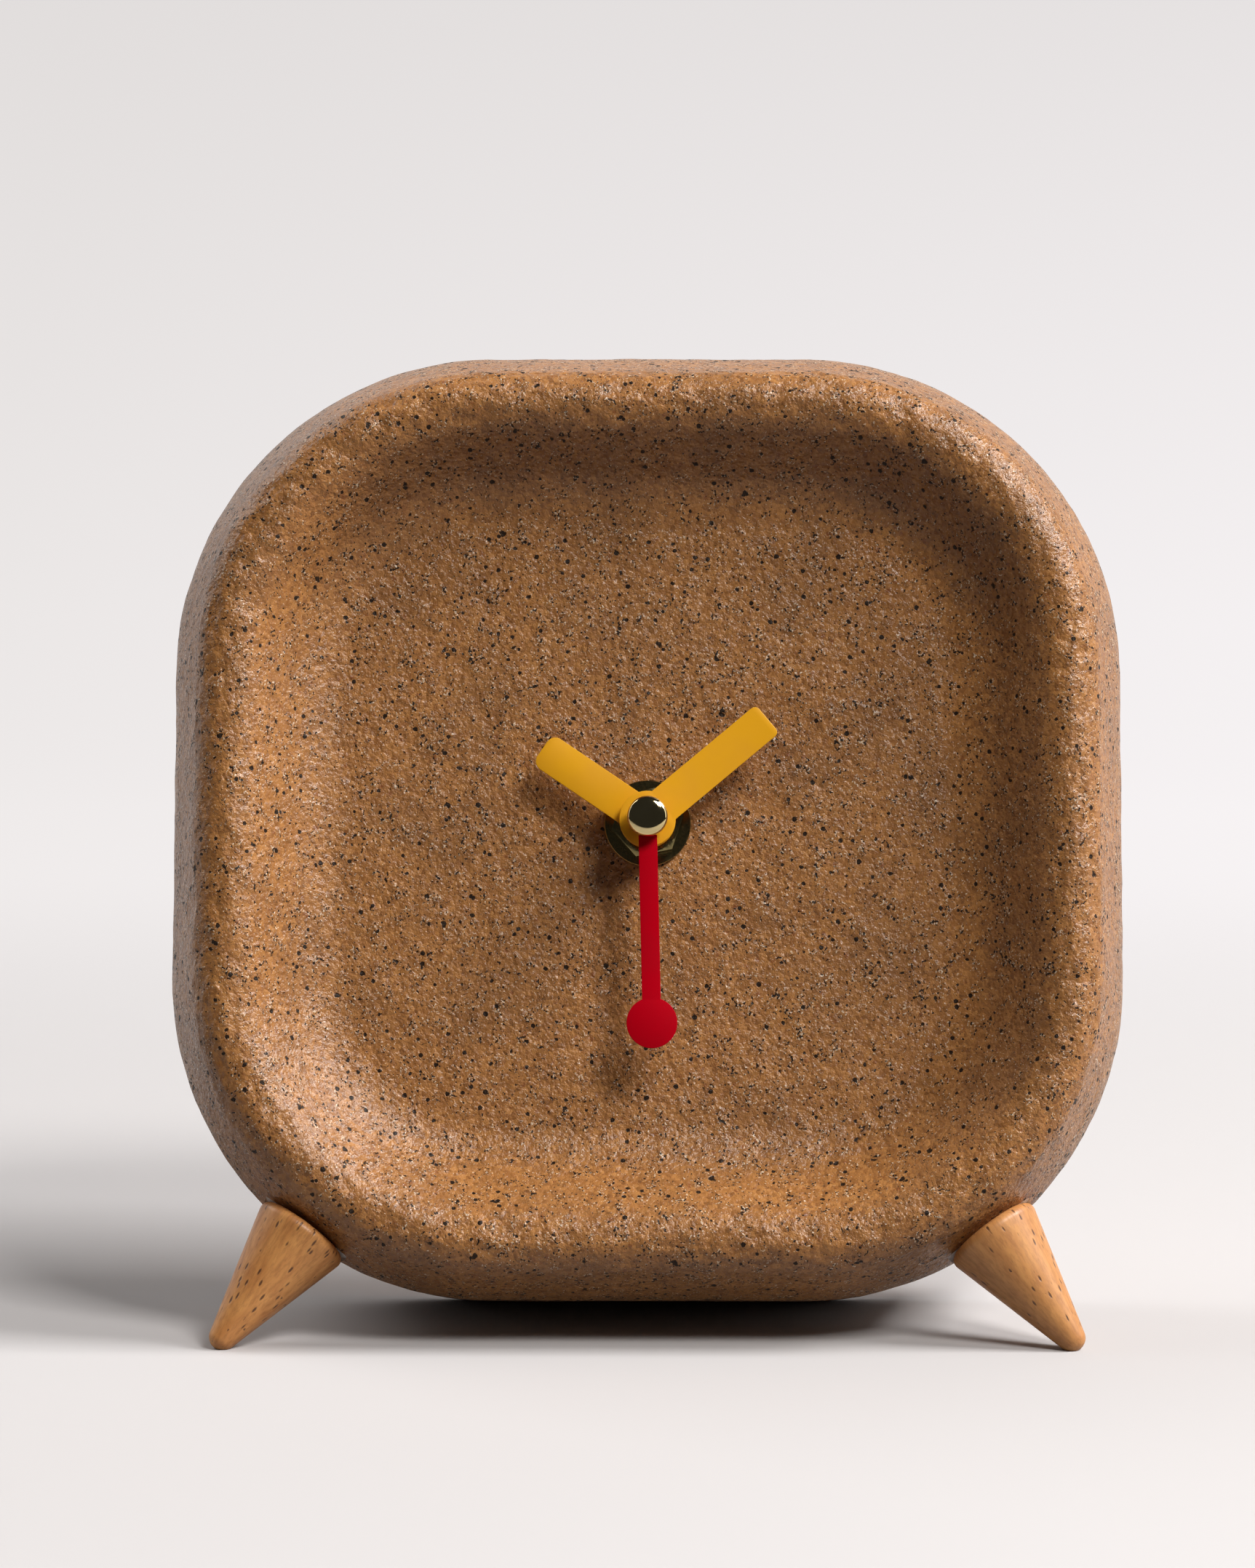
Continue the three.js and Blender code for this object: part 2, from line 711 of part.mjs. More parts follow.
function worksWheel() {
  return join(rod(worksArborRadius, frontPivot, knobBack - knobSkin - fitGap), worksPinion, worksGear);
}

function rotorPinion() {
  return join(rod(arborRadius, bridgePivotFront, backPivot), rotorGear);
}

clock.add(part("hour_wheel", hourWheel(), darkBrass()));
clock.add(part("minute_wheel", minuteWheel(), darkBrass()));
clock.add(part("seconds_wheel", secondsWheel(), plainSteel()));
clock.add(part("third_wheel", thirdWheel(), acetal(), thirdPlace));
clock.add(part("fifth_wheel", fifthWheel(), acetal(), fifthPlace));
clock.add(part("works_wheel", worksWheel(), acetal(), worksPlace));
clock.add(part("rotor_pinion", rotorPinion(), acetal(), rotorPlace));

// Motor: a ring magnet on the rotor, the stator plate round it and the coil on its core.

function rotorMagnet() {
  const back = rotorLayer + statorThickness + 2 * fitGap;
  return ring(magnetRadius, arborRadius + fitGap, rotorLayer, back, smallSides);
}

const statorFront = rotorLayer + fitGap;
const statorBack = statorFront + statorThickness;
const statorLeft = statorOffset;
const statorRight = statorOffset + statorWidth;
const statorBottom = rotorPlace[1] - magnetRadius - 2 * magnetAirGap;
const statorTop = rotorPlace[1] + magnetRadius + 2 * magnetAirGap;
const yokeWidth = coilCoreHeight * 2;

function statorGeometry() {
  const top = coilUp + coilCoreHeight / 2;
  const outline = polygon([
    [statorLeft, statorBottom], [statorRight, statorBottom], [statorRight, top],
    [statorRight - yokeWidth, top], [statorRight - yokeWidth, statorTop],
    [statorLeft + yokeWidth, statorTop], [statorLeft + yokeWidth, top], [statorLeft, top],
  ]);
  const hole = rod(magnetRadius + magnetAirGap, statorFront - overrun, statorBack + overrun, roundSides);
  return cut(plate(outline, statorFront, statorBack), hole.translate(rotorPlace[0], 0, rotorPlace[1]));
}

const coreBack = statorFront - fitGap;
const coreFront = coreBack - coilCoreThickness;
const coreMiddle = (coreFront + coreBack) / 2;
const coilMiddle = (statorLeft + statorRight) / 2;
const bobbinHalf = (statorRight - statorLeft) / 2 - yokeWidth;

// A piece turned about the coil's own line, which runs across the clock.
function onCoilLine(geometry) {
  return geometry.rotateZ(-Math.PI / 2).translate(coilMiddle, coreMiddle, coilUp);
}

function coilCore() {
  const half = coilCoreHeight / 2;
  return block(statorLeft, statorRight, coreFront, coreBack, coilUp - half, coilUp + half);
}

function coilBobbin() {
  const core = Math.hypot(coilCoreHeight, coilCoreThickness) / 2 + fitGap;
  const tube = core + bobbinWall;
  const flange = bobbinHalf - bobbinWall;
  return onCoilLine(revolve([
    [core, -bobbinHalf], [bobbinRadius, -bobbinHalf], [bobbinRadius, -flange], [tube, -flange],
    [tube, flange], [bobbinRadius, flange], [bobbinRadius, bobbinHalf], [core, bobbinHalf], [core, -bobbinHalf],
  ]));
}

function coilWinding() {
  const inner = Math.hypot(coilCoreHeight, coilCoreThickness) / 2 + bobbinWall + 2 * fitGap;
  const half = bobbinHalf - bobbinWall - fitGap;
  return onCoilLine(ring(bobbinRadius - fitGap, inner, -half, half));
}

clock.add(part("rotor_magnet", rotorMagnet(), magnetAlloy(), rotorPlace));
clock.add(part("stator", statorGeometry(), motorIron()));
clock.add(part("coil_core", coilCore(), motorIron()));
clock.add(part("coil_bobbin", coilBobbin(), bobbinPlastic()));
clock.add(part("coil_winding", coilWinding(), copperWire()));

// Circuit board with its chip and crystal, in the chamber's upper left corner.

const boardLeft = 2 * screwInset - caseInside;
const boardRight = statorLeft - boardStatorGap;
const boardFront = bridgeBack;
const boardBack = boardFront + boardThickness;
const partsFront = boardBack + fitGap;
const chipPlace = [boardLeft + 2 * chipRadius, (boardBottom + boardTop) / 2];
const crystalPlace = [boardRight - crystalLength, boardTop - 2 * crystalRadius];

function circuitBoard() {
  return block(boardLeft, boardRight, boardFront, boardBack, boardBottom, boardTop);
}

// The chip is a drop of resin.
function timingChip() {
  const dome = Array.from({ length: edgeSteps + 1 }, (_, step) => {
    const angle = (step / edgeSteps) * (Math.PI / 2);
    return [chipRadius * Math.cos(angle), partsFront + chipHeight * Math.sin(angle)];
  });
  dome[edgeSteps][0] = 0;
  return revolve([[0, partsFront], ...dome], smallSides);
}

function quartzCrystal() {
  const can = rod(crystalRadius, -crystalLength / 2, crystalLength / 2);
  return can.rotateZ(Math.PI / 2).translate(0, partsFront + crystalRadius, 0);
}

clock.add(part("circuit_board", circuitBoard(), boardGreen()));
clock.add(part("timing_chip", timingChip(), chipResin(), chipPlace));
clock.add(part("quartz_crystal", quartzCrystal(), plainSteel(), crystalPlace));

// Movement case, bridge and cover.

// Posts stand under the corners of what they carry, clear of the battery's leaf contacts.
const postAcross = caseInside - leafSpace - fitGap - postRadius;
const bridgePosts = [postAcross, -postAcross].flatMap((across) => [
  [across, bridgeBottom + postRadius], [across, bridgeTop - postRadius],
]);
const boardPosts = [
  [boardLeft + postRadius, boardBottom + postRadius], [boardRight - postRadius, boardTop - postRadius],
];
const screwPlaces = [caseInside - screwInset, screwInset - caseInside].map((across) => [
  across, chamberTop - screwInset,
]);
const statorPosts = [statorLeft + yokeWidth / 2, statorRight - yokeWidth / 2].map((across) => [
  across, coilUp + coilCoreHeight / 2 + postRadius,
]);

function rodAt([across, up], radius, front, back) {
  return rod(radius, front, back).translate(across, 0, up);
}

function postAt(place, back, radius = postRadius) {
  return rodAt(place, radius, insideFront - caseWall / 2, back);
}

const coverBack = movementBack;
const coverFront = insideBack;
const screwTip = coverBack + fitGap - screwLength;
const contactNotch = contactThickness + 2 * fitGap;
const contactMiddle = insideFront + fitGap + batteryRadius;

// The case: a tray with a gear chamber above and the battery bay below, on its threaded bush.
function movementCase() {
  const half = caseHalfWidth;
  const outer = roundedRectangle(-half, half, bayBottom - caseWall, chamberTop + caseWall, caseCornerRadius);
  const open = movementBack + overrun;
  const tray = cut(
    plate(outer, movementFront, movementBack),
    block(-caseInside, caseInside, insideFront, open, chamberFloor, chamberTop),
    block(-caseInside, caseInside, insideFront, open, bayBottom, bayTop),
  );
  const notchFront = contactMiddle - contactWidth / 2;
  const notches = [-caseInside, caseInside - contactNotch].map((left) => (
    block(left, left + contactNotch, notchFront, open, bayTop - overrun, chamberFloor + overrun)
  ));
  const posts = [
    ...bridgePosts.map((place) => postAt(place, bridgeLayer - fitGap)),
    ...boardPosts.map((place) => postAt(place, boardFront - fitGap)),
    ...screwPlaces.map((place) => postAt(place, coverFront - fitGap, screwHeadRadius)),
    ...statorPosts.map((place) => postAt(place, statorBack)),
  ];
  const screwHoles = screwPlaces.map((place) => rodAt(
    place, screwShankRadius + fitGap, screwTip - fitGap, coverFront + overrun,
  ));
  return cut(
    join(tray, rod(bushRadius, bushFront, insideFront - caseWall / 2, roundSides), ...posts),
    rod(bushBoreRadius, bushFront - overrun, insideFront + overrun, roundSides),
    rodAt(thirdPlace, arborHole, insideFront - pivotDepth, insideFront + overrun),
    rodAt(worksPlace, worksArborHole, insideFront - pivotDepth, insideFront + overrun),
    ...notches,
    ...screwHoles,
  );
}

// The bridge between the two halves of the train.
function trainBridge() {
  const half = postAcross + postRadius;
  const sheet = roundedRectangle(-half, half, bridgeBottom, bridgeTop, postRadius);
  const throughBridge = (place, radius) => rodAt(place, radius, bridgeLayer - overrun, bridgeBack + overrun);
  return cut(
    plate(sheet, bridgeLayer, bridgeBack),
    ...[centre, thirdPlace, fifthPlace, rotorPlace].map((place) => throughBridge(place, arborHole)),
    throughBridge(worksPlace, worksArborHole),
  );
}

// The cover closes the gear chamber and leaves the battery bay open.
function movementCover() {
  const half = caseInside - fitGap;
  const sheet = roundedRectangle(-half, half, chamberFloor + fitGap, chamberTop - fitGap, caseWall);
  return cut(
    plate(sheet, coverFront, coverBack),
    ...[centre, fifthPlace, rotorPlace].map((place) => (
      rodAt(place, arborHole, coverFront - overrun, coverFront + pivotDepth)
    )),
    rodAt(worksPlace, worksArborHole, coverFront - overrun, coverBack + overrun),
    ...screwPlaces.map((place) => (
      rodAt(place, screwShankRadius + fitGap, coverFront - overrun, coverBack + overrun)
    )),
  );
}

function coverScrew() {
  const headFront = coverBack + fitGap;
  const headBack = headFront + screwHeadHeight;
  const screw = revolve([
    [0, screwTip], [screwShankRadius, screwTip + screwShankRadius], [screwShankRadius, headFront],
    [screwHeadRadius, headFront], [screwHeadRadius, headBack], [0, headBack],
  ], smallSides);
  const slotHalf = screwSlotWidth / 2;
  const slot = block(
    -screwHeadRadius - overrun, screwHeadRadius + overrun, headBack - screwSlotDepth, headBack + overrun,
    -slotHalf, slotHalf,
  );
  return cut(screw, slot);
}

// The knob that sets the hands, with scalloped edge.
function settingKnob() {
  const steps = knobFlutes * fluteSteps;
  const outline = Array.from({ length: steps }, (_, step) => {
    const angle = (step / steps) * Math.PI * 2;
    const radius = knobRadius - (knobFluteDepth * (1 + Math.cos(angle * knobFlutes))) / 2;
    return [radius * Math.cos(angle), radius * Math.sin(angle)];
  });
  const hole = rod(worksArborRadius + fitGap, knobFront - overrun, knobBack - knobSkin);
  return cut(plate(polygon(outline), knobFront, knobBack), hole);
}

clock.add(part("movement_case", movementCase(), blackPlastic()));
clock.add(part("train_bridge", trainBridge(), blackPlastic()));
clock.add(part("movement_cover", movementCover(), blackPlastic()));
clock.add(part("setting_knob", settingKnob(), blackPlastic(), worksPlace));
screwPlaces.forEach((place, number) => {
  clock.add(part(`cover_screw_${number + 1}`, coverScrew(), plainSteel(), place));
});

// Battery and its two contacts. The cell lies across the clock with its positive end to the right.

const batteryUp = bayBottom + fitGap + batteryRadius;
const leafFace = caseInside - leafSpace;
const batteryRight = leafFace - contactDimple - fitGap - batteryNubHeight;
const batteryLeft = batteryRight - batteryLength;

function batteryCell() {
  const nubEnd = batteryRight + batteryNubHeight;
  const body = [
    [0, batteryLeft], [batteryRadius - batteryEdgeRadius, batteryLeft],
    [batteryRadius, batteryLeft + batteryEdgeRadius], [batteryRadius, batteryRight - batteryEdgeRadius],
    [batteryRadius - batteryEdgeRadius, batteryRight], [batteryNubRadius, batteryRight],
    [batteryNubRadius, nubEnd], [0, nubEnd],
  ];
  return revolve(body).rotateZ(-Math.PI / 2).translate(0, contactMiddle, batteryUp);
}

// A leaf spring contact stands against the bay's end wall and rises through the notch.
function contactLeaf(side) {
  const inner = side * leafFace;
  const outer = inner + side * contactThickness;
  const half = contactWidth / 2 - fitGap;
  const reach = batteryUp - contactWidth / 2;
  return block(
    Math.min(outer, inner), Math.max(outer, inner), contactMiddle - half, contactMiddle + half,
    reach, chamberFloor + contactWidth / 2,
  );
}

// The positive leaf carries a dimple and the negative leaf a bowed tongue that reach the cell.
function contactWithTongue(side, cellEnd) {
  const root = side * (leafFace + contactThickness / 2);
  const tip = cellEnd + side * fitGap;
  const half = tongueWidth / 2;
  const outline = polygon([
    [root, batteryUp + tongueRoot / 2], [tip, batteryUp + tongueTip / 2],
    [tip, batteryUp - tongueTip / 2], [root, batteryUp - tongueRoot / 2],
  ]);
  return join(contactLeaf(side), plate(outline, contactMiddle - half, contactMiddle + half));
}

clock.add(part("battery_cell", batteryCell(), cellSleeve()));
clock.add(part("battery_contact_positive", contactWithTongue(1, batteryRight + batteryNubHeight), nickel()));
clock.add(part("battery_contact_negative", contactWithTongue(-1, batteryLeft), nickel()));

// The part's origin is the middle of its outer box, on the table.
const box = new THREE.Box3().setFromObject(clock, true);
clock.position.x -= (box.min.x + box.max.x) / 2;
clock.position.y -= (box.min.y + box.max.y) / 2;

const group = new THREE.Group();
group.add(clock);

export default group;
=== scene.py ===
# %% [markdown]
# # A desk clock of pressed wood fibre
# The clock is a thick square cushion of pressed wood fibre with a deep round-cornered dish for a face.
# It leans back on its rear edge and on two turned wooden legs, and carries three short painted hands.
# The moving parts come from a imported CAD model, the frame. Everything below is built around that frame,
# in metres, with X to the right, Y from the face to the back and Z up from the table.

# %% Load the frame
import json
import math

import bmesh
import bpy
from mathutils import Matrix, Vector

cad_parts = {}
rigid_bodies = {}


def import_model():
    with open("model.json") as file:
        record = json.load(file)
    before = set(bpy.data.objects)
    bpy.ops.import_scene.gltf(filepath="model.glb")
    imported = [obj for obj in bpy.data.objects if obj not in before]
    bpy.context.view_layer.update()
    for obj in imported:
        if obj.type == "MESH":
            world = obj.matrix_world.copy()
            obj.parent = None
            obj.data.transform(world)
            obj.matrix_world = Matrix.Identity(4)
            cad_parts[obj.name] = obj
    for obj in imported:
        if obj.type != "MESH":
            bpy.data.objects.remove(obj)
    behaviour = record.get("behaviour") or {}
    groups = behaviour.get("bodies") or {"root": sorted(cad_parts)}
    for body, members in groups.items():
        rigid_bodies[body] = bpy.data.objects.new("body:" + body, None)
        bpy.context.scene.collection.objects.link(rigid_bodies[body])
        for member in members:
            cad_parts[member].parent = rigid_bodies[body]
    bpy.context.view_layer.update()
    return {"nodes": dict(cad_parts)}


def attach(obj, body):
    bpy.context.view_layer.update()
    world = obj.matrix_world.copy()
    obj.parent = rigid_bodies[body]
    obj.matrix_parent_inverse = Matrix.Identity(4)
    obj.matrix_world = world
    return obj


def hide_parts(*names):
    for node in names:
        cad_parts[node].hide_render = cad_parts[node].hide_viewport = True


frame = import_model()
MM = 0.001

# %% [markdown]
# ## The leaning clock
# The clock leans back by twelve degrees. Its pieces are easier to think of in its own frame: X to the
# right, Y the depth behind the crest of the rim and Z up the face, in millimetres, with the hands'
# shaft at zero. One matrix takes such a point to its place in the room.

# %% The clock's own frame
LEAN = math.radians(12)
QUARTER = math.pi / 2
SHAFT = Vector((0, -25.226057, 90.320643))
CLOCK = Matrix.Scale(MM, 4) @ Matrix.Translation(SHAFT) @ Matrix.Rotation(-LEAN, 4, "X")
FACE = CLOCK @ Matrix.Rotation(QUARTER, 4, "X")


def on_face(turn_degrees=0):
    """From a drawing seen from the front, with its Z towards the viewer, to its place in the clock."""
    return FACE @ Matrix.Rotation(-math.radians(turn_degrees), 4, "Z")


print("the shaft crosses the rim's plane at", [round(x, 4) for x in CLOCK.translation])

# %% [markdown]
# ## Camera
# The photograph looks almost straight at the clock from a little above it, through a long lens, so the
# outline hardly tapers. The camera stands 0.8 metres away and looks five degrees down.

# %% Camera
SENSOR_MM, LENS_MM = 36, 108.53
CAMERA_PLACE = (0.002499, -0.829227, 0.170820)
CAMERA_PITCH, CAMERA_TURN = math.radians(84.66), math.radians(0.42)


def in_scene(name, data):
    """A new object for a camera, a light or a mesh, linked into the scene."""
    obj = bpy.data.objects.new(name, data)
    bpy.context.scene.collection.objects.link(obj)
    return obj


camera_data = bpy.data.cameras.new("photo_camera")
camera_data.sensor_width, camera_data.lens = SENSOR_MM, LENS_MM
camera = in_scene("photo_camera", camera_data)
camera.location = CAMERA_PLACE
camera.rotation_euler = (CAMERA_PITCH, 0, CAMERA_TURN)
bpy.context.scene.camera = camera
print("camera lens", camera_data.lens, "mm")

# %% [markdown]
# ## Node trees
# Materials and Geometry Nodes are both trees of nodes. The first helper adds one node: its settings
# come as keywords, and its inputs as a table from a socket's name or number to a value or to another
# socket. The others do arithmetic and stretch a range of values.

# %% Helpers for node trees
def add(tree, kind, inputs=(), **settings):
    node = tree.nodes.new(kind)
    for name, value in settings.items():
        setattr(node, name, value)
    for key, value in dict(inputs).items():
        socket = node.inputs[key]
        if isinstance(value, bpy.types.NodeSocket):
            tree.links.new(value, socket)
        else:
            socket.default_value = value
    return node


def calc(tree, operation, *values):
    """One step of arithmetic on numbers."""
    return add(tree, "ShaderNodeMath", enumerate(values), operation=operation).outputs[0]


def vector_calc(tree, operation, *values):
    """One step of arithmetic on vectors."""
    return add(tree, "ShaderNodeVectorMath", enumerate(values), operation=operation).outputs[0]


def scaled(tree, vector, factor):
    inputs = {0: vector, "Scale": factor}
    return add(tree, "ShaderNodeVectorMath", inputs, operation="SCALE").outputs[0]


def remap(tree, value, low, high, to_low=0.0, to_high=1.0, kind="LINEAR"):
    """Stretches a range of values to another, and holds it at both ends."""
    ends = {"Value": value, "From Min": low, "From Max": high, "To Min": to_low, "To Max": to_high}
    return add(tree, "ShaderNodeMapRange", ends, interpolation_type=kind).outputs["Result"]


print("helpers for node trees are ready")

# %% [markdown]
# ## Colours and material helpers
# Every finish is procedural. Its patterns are measured in metres from Object coordinates, so grain
# and specks have their real size. A material starts from one Principled shader, and patterns are
# mixed into its colour, roughness and normal.

# %% Helpers for materials
def colour(red, green, blue):
    """A colour given as it looks on a screen, 0 to 255, turned to linear light."""
    shares = [c / 255 for c in (red, green, blue)]
    return (*[c / 12.92 if c < 0.04045 else ((c + 0.055) / 1.055) ** 2.4 for c in shares], 1)


def finish(name, base, roughness, **more):
    """A new material with its Principled shader's plain values set. An _ stands for a space."""
    material = bpy.data.materials.new(name)
    material.use_nodes = True
    tree = material.node_tree
    shader = tree.nodes["Principled BSDF"]
    shader.inputs["Base Color"].default_value = base
    shader.inputs["Roughness"].default_value = roughness
    for key, value in more.items():
        shader.inputs[key.replace("_", " ")].default_value = value
    return material, tree, shader


def wire(tree, shader, **patterns):
    """Links patterns to the shader's inputs. An _ stands for a space."""
    for key, pattern in patterns.items():
        tree.links.new(pattern, shader.inputs[key.replace("_", " ")])


def place_of(tree, turn=(0, 0, 0), stretch=(1, 1, 1)):
    """Object coordinates, turned and stretched for a pattern that runs along something."""
    here = add(tree, "ShaderNodeTexCoord").outputs["Object"]
    if any(turn):
        here = add(tree, "ShaderNodeMapping", {"Vector": here, "Rotation": turn}).outputs[0]
    return add(tree, "ShaderNodeMapping", {"Vector": here, "Scale": stretch}).outputs[0]


def mix(tree, share, first, second):
    """A share of the second colour over the first."""
    return add(tree, "ShaderNodeMix", {0: share, 6: first, 7: second}, data_type="RGBA").outputs[2]


def bump(tree, height, distance_mm, strength):
    inputs = {"Height": height, "Distance": distance_mm * MM, "Strength": strength}
    return add(tree, "ShaderNodeBump", inputs).outputs["Normal"]


print("helpers for materials are ready")

# %% [markdown]
# Two random patterns make nearly every finish here. Noise is soft and cloudy, so it suits drifts of
# tone and uneven gloss. Cells break the surface into grains, and each cell has its own random colour,
# from which a granule can take its tone and a speck its chance to be there at all.

# %% Random patterns
def noise_node(tree, place, size_mm, detail=2.0, rough=0.5, warp=0.0):
    inputs = {"Vector": place, "Scale": 1 / (size_mm * MM), "Detail": detail,
              "Roughness": rough, "Distortion": warp}
    return add(tree, "ShaderNodeTexNoise", inputs)


def noise(tree, place, size_mm, *more):
    """Soft noise of about this size, around a half."""
    return noise_node(tree, place, size_mm, *more).outputs["Fac"]


def cells(tree, place, size_mm):
    inputs = {"Vector": place, "Scale": 1 / (size_mm * MM)}
    return add(tree, "ShaderNodeTexVoronoi", inputs).outputs


def random_numbers(tree, cell):
    """Three random numbers from 0 to 1 for each cell."""
    return add(tree, "ShaderNodeSeparateColor", {"Color": cell["Color"]}).outputs


def centred(tree, random_vector):
    return vector_calc(tree, "SUBTRACT", random_vector, (0.5, 0.5, 0.5))


def wobbled(tree, place, size_mm, reach_mm):
    """Moves each point a little by noise, so that a pattern's edges turn ragged."""
    drift = centred(tree, noise_node(tree, place, size_mm).outputs["Color"])
    return vector_calc(tree, "ADD", place, scaled(tree, drift, 2 * reach_mm * MM))


def specks(tree, place, size_mm, radius, share):
    """Random dots: a cell holds one if its random number is below the share. Returns 0 to 1."""
    cell = cells(tree, place, size_mm)
    number = random_numbers(tree, cell)
    chosen = calc(tree, "LESS_THAN", number[0], share)
    reach = remap(tree, number[1], 0.0, 1.0, radius * 0.6, radius)
    soft = remap(tree, calc(tree, "SUBTRACT", reach, cell["Distance"]), 0.0, 0.03)
    return calc(tree, "MULTIPLY", soft, chosen)


print("noise, cells and specks are ready")

# %% [markdown]
# ## Pressed fibre
# The body is wood fibre and fine grit, pressed in a mould and sealed. Close up it is a crust of tan
# and golden granules well under a millimetre wide, with darker drifts and scattered black and rusty
# specks. Pits among the granules are painted near black, as painted shade, and pale flecks are
# painted in as painted glints. Random cells make the granules, and two layers of noise darken them in
# drifts, a small one and a broad one. The outer wall slid along the mould, which drew its skin into
# fine greyish streaks. They follow a share that the body's own mesh carries.

# %% Pressed fibre: granules and streaks
TAN, GOLD, UMBER = colour(149, 96, 48), colour(181, 124, 67), colour(104, 62, 24)
DRIFT_BROWN, BLOTCH_BROWN = colour(98, 64, 34), colour(104, 68, 38)
RUST, STREAK_GREY = colour(118, 56, 24), colour(140, 120, 100)
# The pale colour is a painted glint: flecks of it stand in for the sealer's sparkle.
GLINT_PALE, BLACK_GRIT_AND_PIT_SHADE = colour(250, 232, 204), colour(8, 7, 6)
GRANULE = 0.75


def granule_tone(tree, place, numbers, drift):
    tone = mix(tree, numbers[0], TAN, GOLD)
    tone = mix(tree, remap(tree, numbers[1], 0.78, 0.9, 0.0, 0.4), tone, UMBER)
    tone = mix(tree, remap(tree, drift, 0.5, 0.68, 0.0, 0.3), tone, DRIFT_BROWN)
    blotch = noise(tree, place, 15, 3.0, 0.55)
    return mix(tree, remap(tree, blotch, 0.46, 0.72, 0.0, 0.4), tone, BLOTCH_BROWN)


def wall_streaks(tree):
    """Streaks that run round the outer wall, as long as twenty times their width."""
    on_wall = add(tree, "ShaderNodeAttribute", attribute_name="wall").outputs["Fac"]
    streak = noise(tree, place_of(tree, (LEAN, 0, 0), (0.05, 1, 0.05)), 0.5, 3.0, 0.6)
    return calc(tree, "MULTIPLY", remap(tree, streak, 0.4, 0.7, 0.15, 0.6), on_wall)


print("granules are", GRANULE, "mm wide")

# %% [markdown]
# The same patterns raise the surface, so that colour and relief agree. The sealer is a coat whose
# normal tips at random from grain to grain, so that a few grains flash under the softbox, and it
# skips the black grit and the pits, whose near-black colour is painted shade. All the coordinates
# are turned off the axes, because a flat face that lies along the rows of a noise shows them as a weave.

# %% Material: pressed fibre
OFF_THE_AXES = (0.7, 0.4, 0.9)
FACET_TILT = 0.3


def pressed_fibre():
    material, tree, shader = finish(
        "pressed_fibre", colour(150, 98, 54), 0.5, Specular_IOR_Level=0.2, Coat_Roughness=0.26,
        Sheen_Weight=0.03, Sheen_Roughness=0.4, Sheen_Tint=(1.0, 0.86, 0.7, 1.0))
    place = place_of(tree, OFF_THE_AXES)
    ragged = wobbled(tree, place, 0.5, 0.22)
    coarse = wobbled(tree, place, 0.9, 0.6)
    grain = cells(tree, ragged, GRANULE)
    drift = noise(tree, place, 2.2, 4.0, 0.65)
    gap = noise(tree, place, 0.5, 1.5, 0.5)
    glint_noise = noise(tree, place, 0.36, 1.5, 0.5)
    fine = noise(tree, place, 0.4, 3.0, 0.6)

    cluster = calc(tree, "MULTIPLY", calc(tree, "SUBTRACT", drift, 0.5), 0.6)
    # Painted shade: noise pits in clusters, coloured near black as crevices in shade.
    pit_shade = remap(tree, calc(tree, "ADD", gap, cluster), 0.655, 0.68)
    # Painted glints: pale flecks in the same clusters as the pits, standing in for sparkle.
    painted_glints = remap(tree, calc(tree, "ADD", glint_noise, cluster), 0.67, 0.7)
    # The dark share holds real black grit specks and the painted shade of the pits.
    dark = calc(tree, "MAXIMUM", pit_shade, specks(tree, ragged, 2.0, 0.24, 0.6))
    dark = calc(tree, "MAXIMUM", dark, specks(tree, coarse, 4.2, 0.16, 0.4))

    tone = granule_tone(tree, place, random_numbers(tree, grain), drift)
    rusty = calc(tree, "MULTIPLY", specks(tree, coarse, 1.6, 0.26, 0.2), 0.5)
    tone = mix(tree, rusty, tone, RUST)
    tone = mix(tree, wall_streaks(tree), tone, STREAK_GREY)
    # Paints the pale glints into the colour.
    tone = mix(tree, calc(tree, "MULTIPLY", painted_glints, 0.5), tone, GLINT_PALE)
    # Paints the black grit and the pits' painted shade.
    tone = mix(tree, calc(tree, "MULTIPLY", dark, 0.95), tone, BLACK_GRIT_AND_PIT_SHADE)

    crumbs = calc(tree, "SUBTRACT", 1.0, grain["Distance"])
    height = calc(tree, "MULTIPLY", crumbs, 0.25)
    for pattern, share in ((drift, 1.6), (fine, 0.1), (gap, -0.2), (dark, -0.2)):
        height = calc(tree, "ADD", height, calc(tree, "MULTIPLY", pattern, share))
    rough_skin = bump(tree, height, 0.36, 0.9)
    facet = cells(tree, wobbled(tree, place, 0.4, 0.1), 0.55)["Color"]
    tilt = scaled(tree, centred(tree, facet), FACET_TILT)
    glint = vector_calc(tree, "NORMALIZE", vector_calc(tree, "ADD", rough_skin, tilt))

    wire(tree, shader, Base_Color=tone, Normal=rough_skin, Coat_Normal=glint,
         Roughness=remap(tree, fine, 0.35, 0.65, 0.34, 0.6),
         Coat_Weight=remap(tree, dark, 0.0, 1.0, 0.65, 0.0))
    return material


PRESSED_FIBRE = pressed_fibre()
print("made", PRESSED_FIBRE.name)

# %% [markdown]
# ## Wood
# The legs are turned from a light brown hardwood with an oiled finish. Its grain runs along the leg
# and shows fine streaks and many short dark pores. Each leg points its own way, so the pattern's
# coordinates are turned until their Z runs along it, and then squeezed along Z, which draws every
# spot of the pattern out into a streak.

# %% Material: turned wood
PORE_BROWN = colour(66, 34, 20)


def pores_in(tree, turn):
    """Short dark pores, crowded in some places and rare in others. Returns 0 to 1."""
    pore_place = place_of(tree, turn, (1, 1, 0.2))
    pore = cells(tree, wobbled(tree, pore_place, 1.0, 0.12), 0.8)
    crowd = noise(tree, place_of(tree, turn), 7, 2.0, 0.5)
    share = remap(tree, crowd, 0.42, 0.66, 0.14, 0.8)
    chosen = calc(tree, "LESS_THAN", random_numbers(tree, pore)[0], share)
    core = remap(tree, pore["Distance"], 0.18, 0.32, 1.0, 0.0)
    return calc(tree, "MULTIPLY", core, chosen)


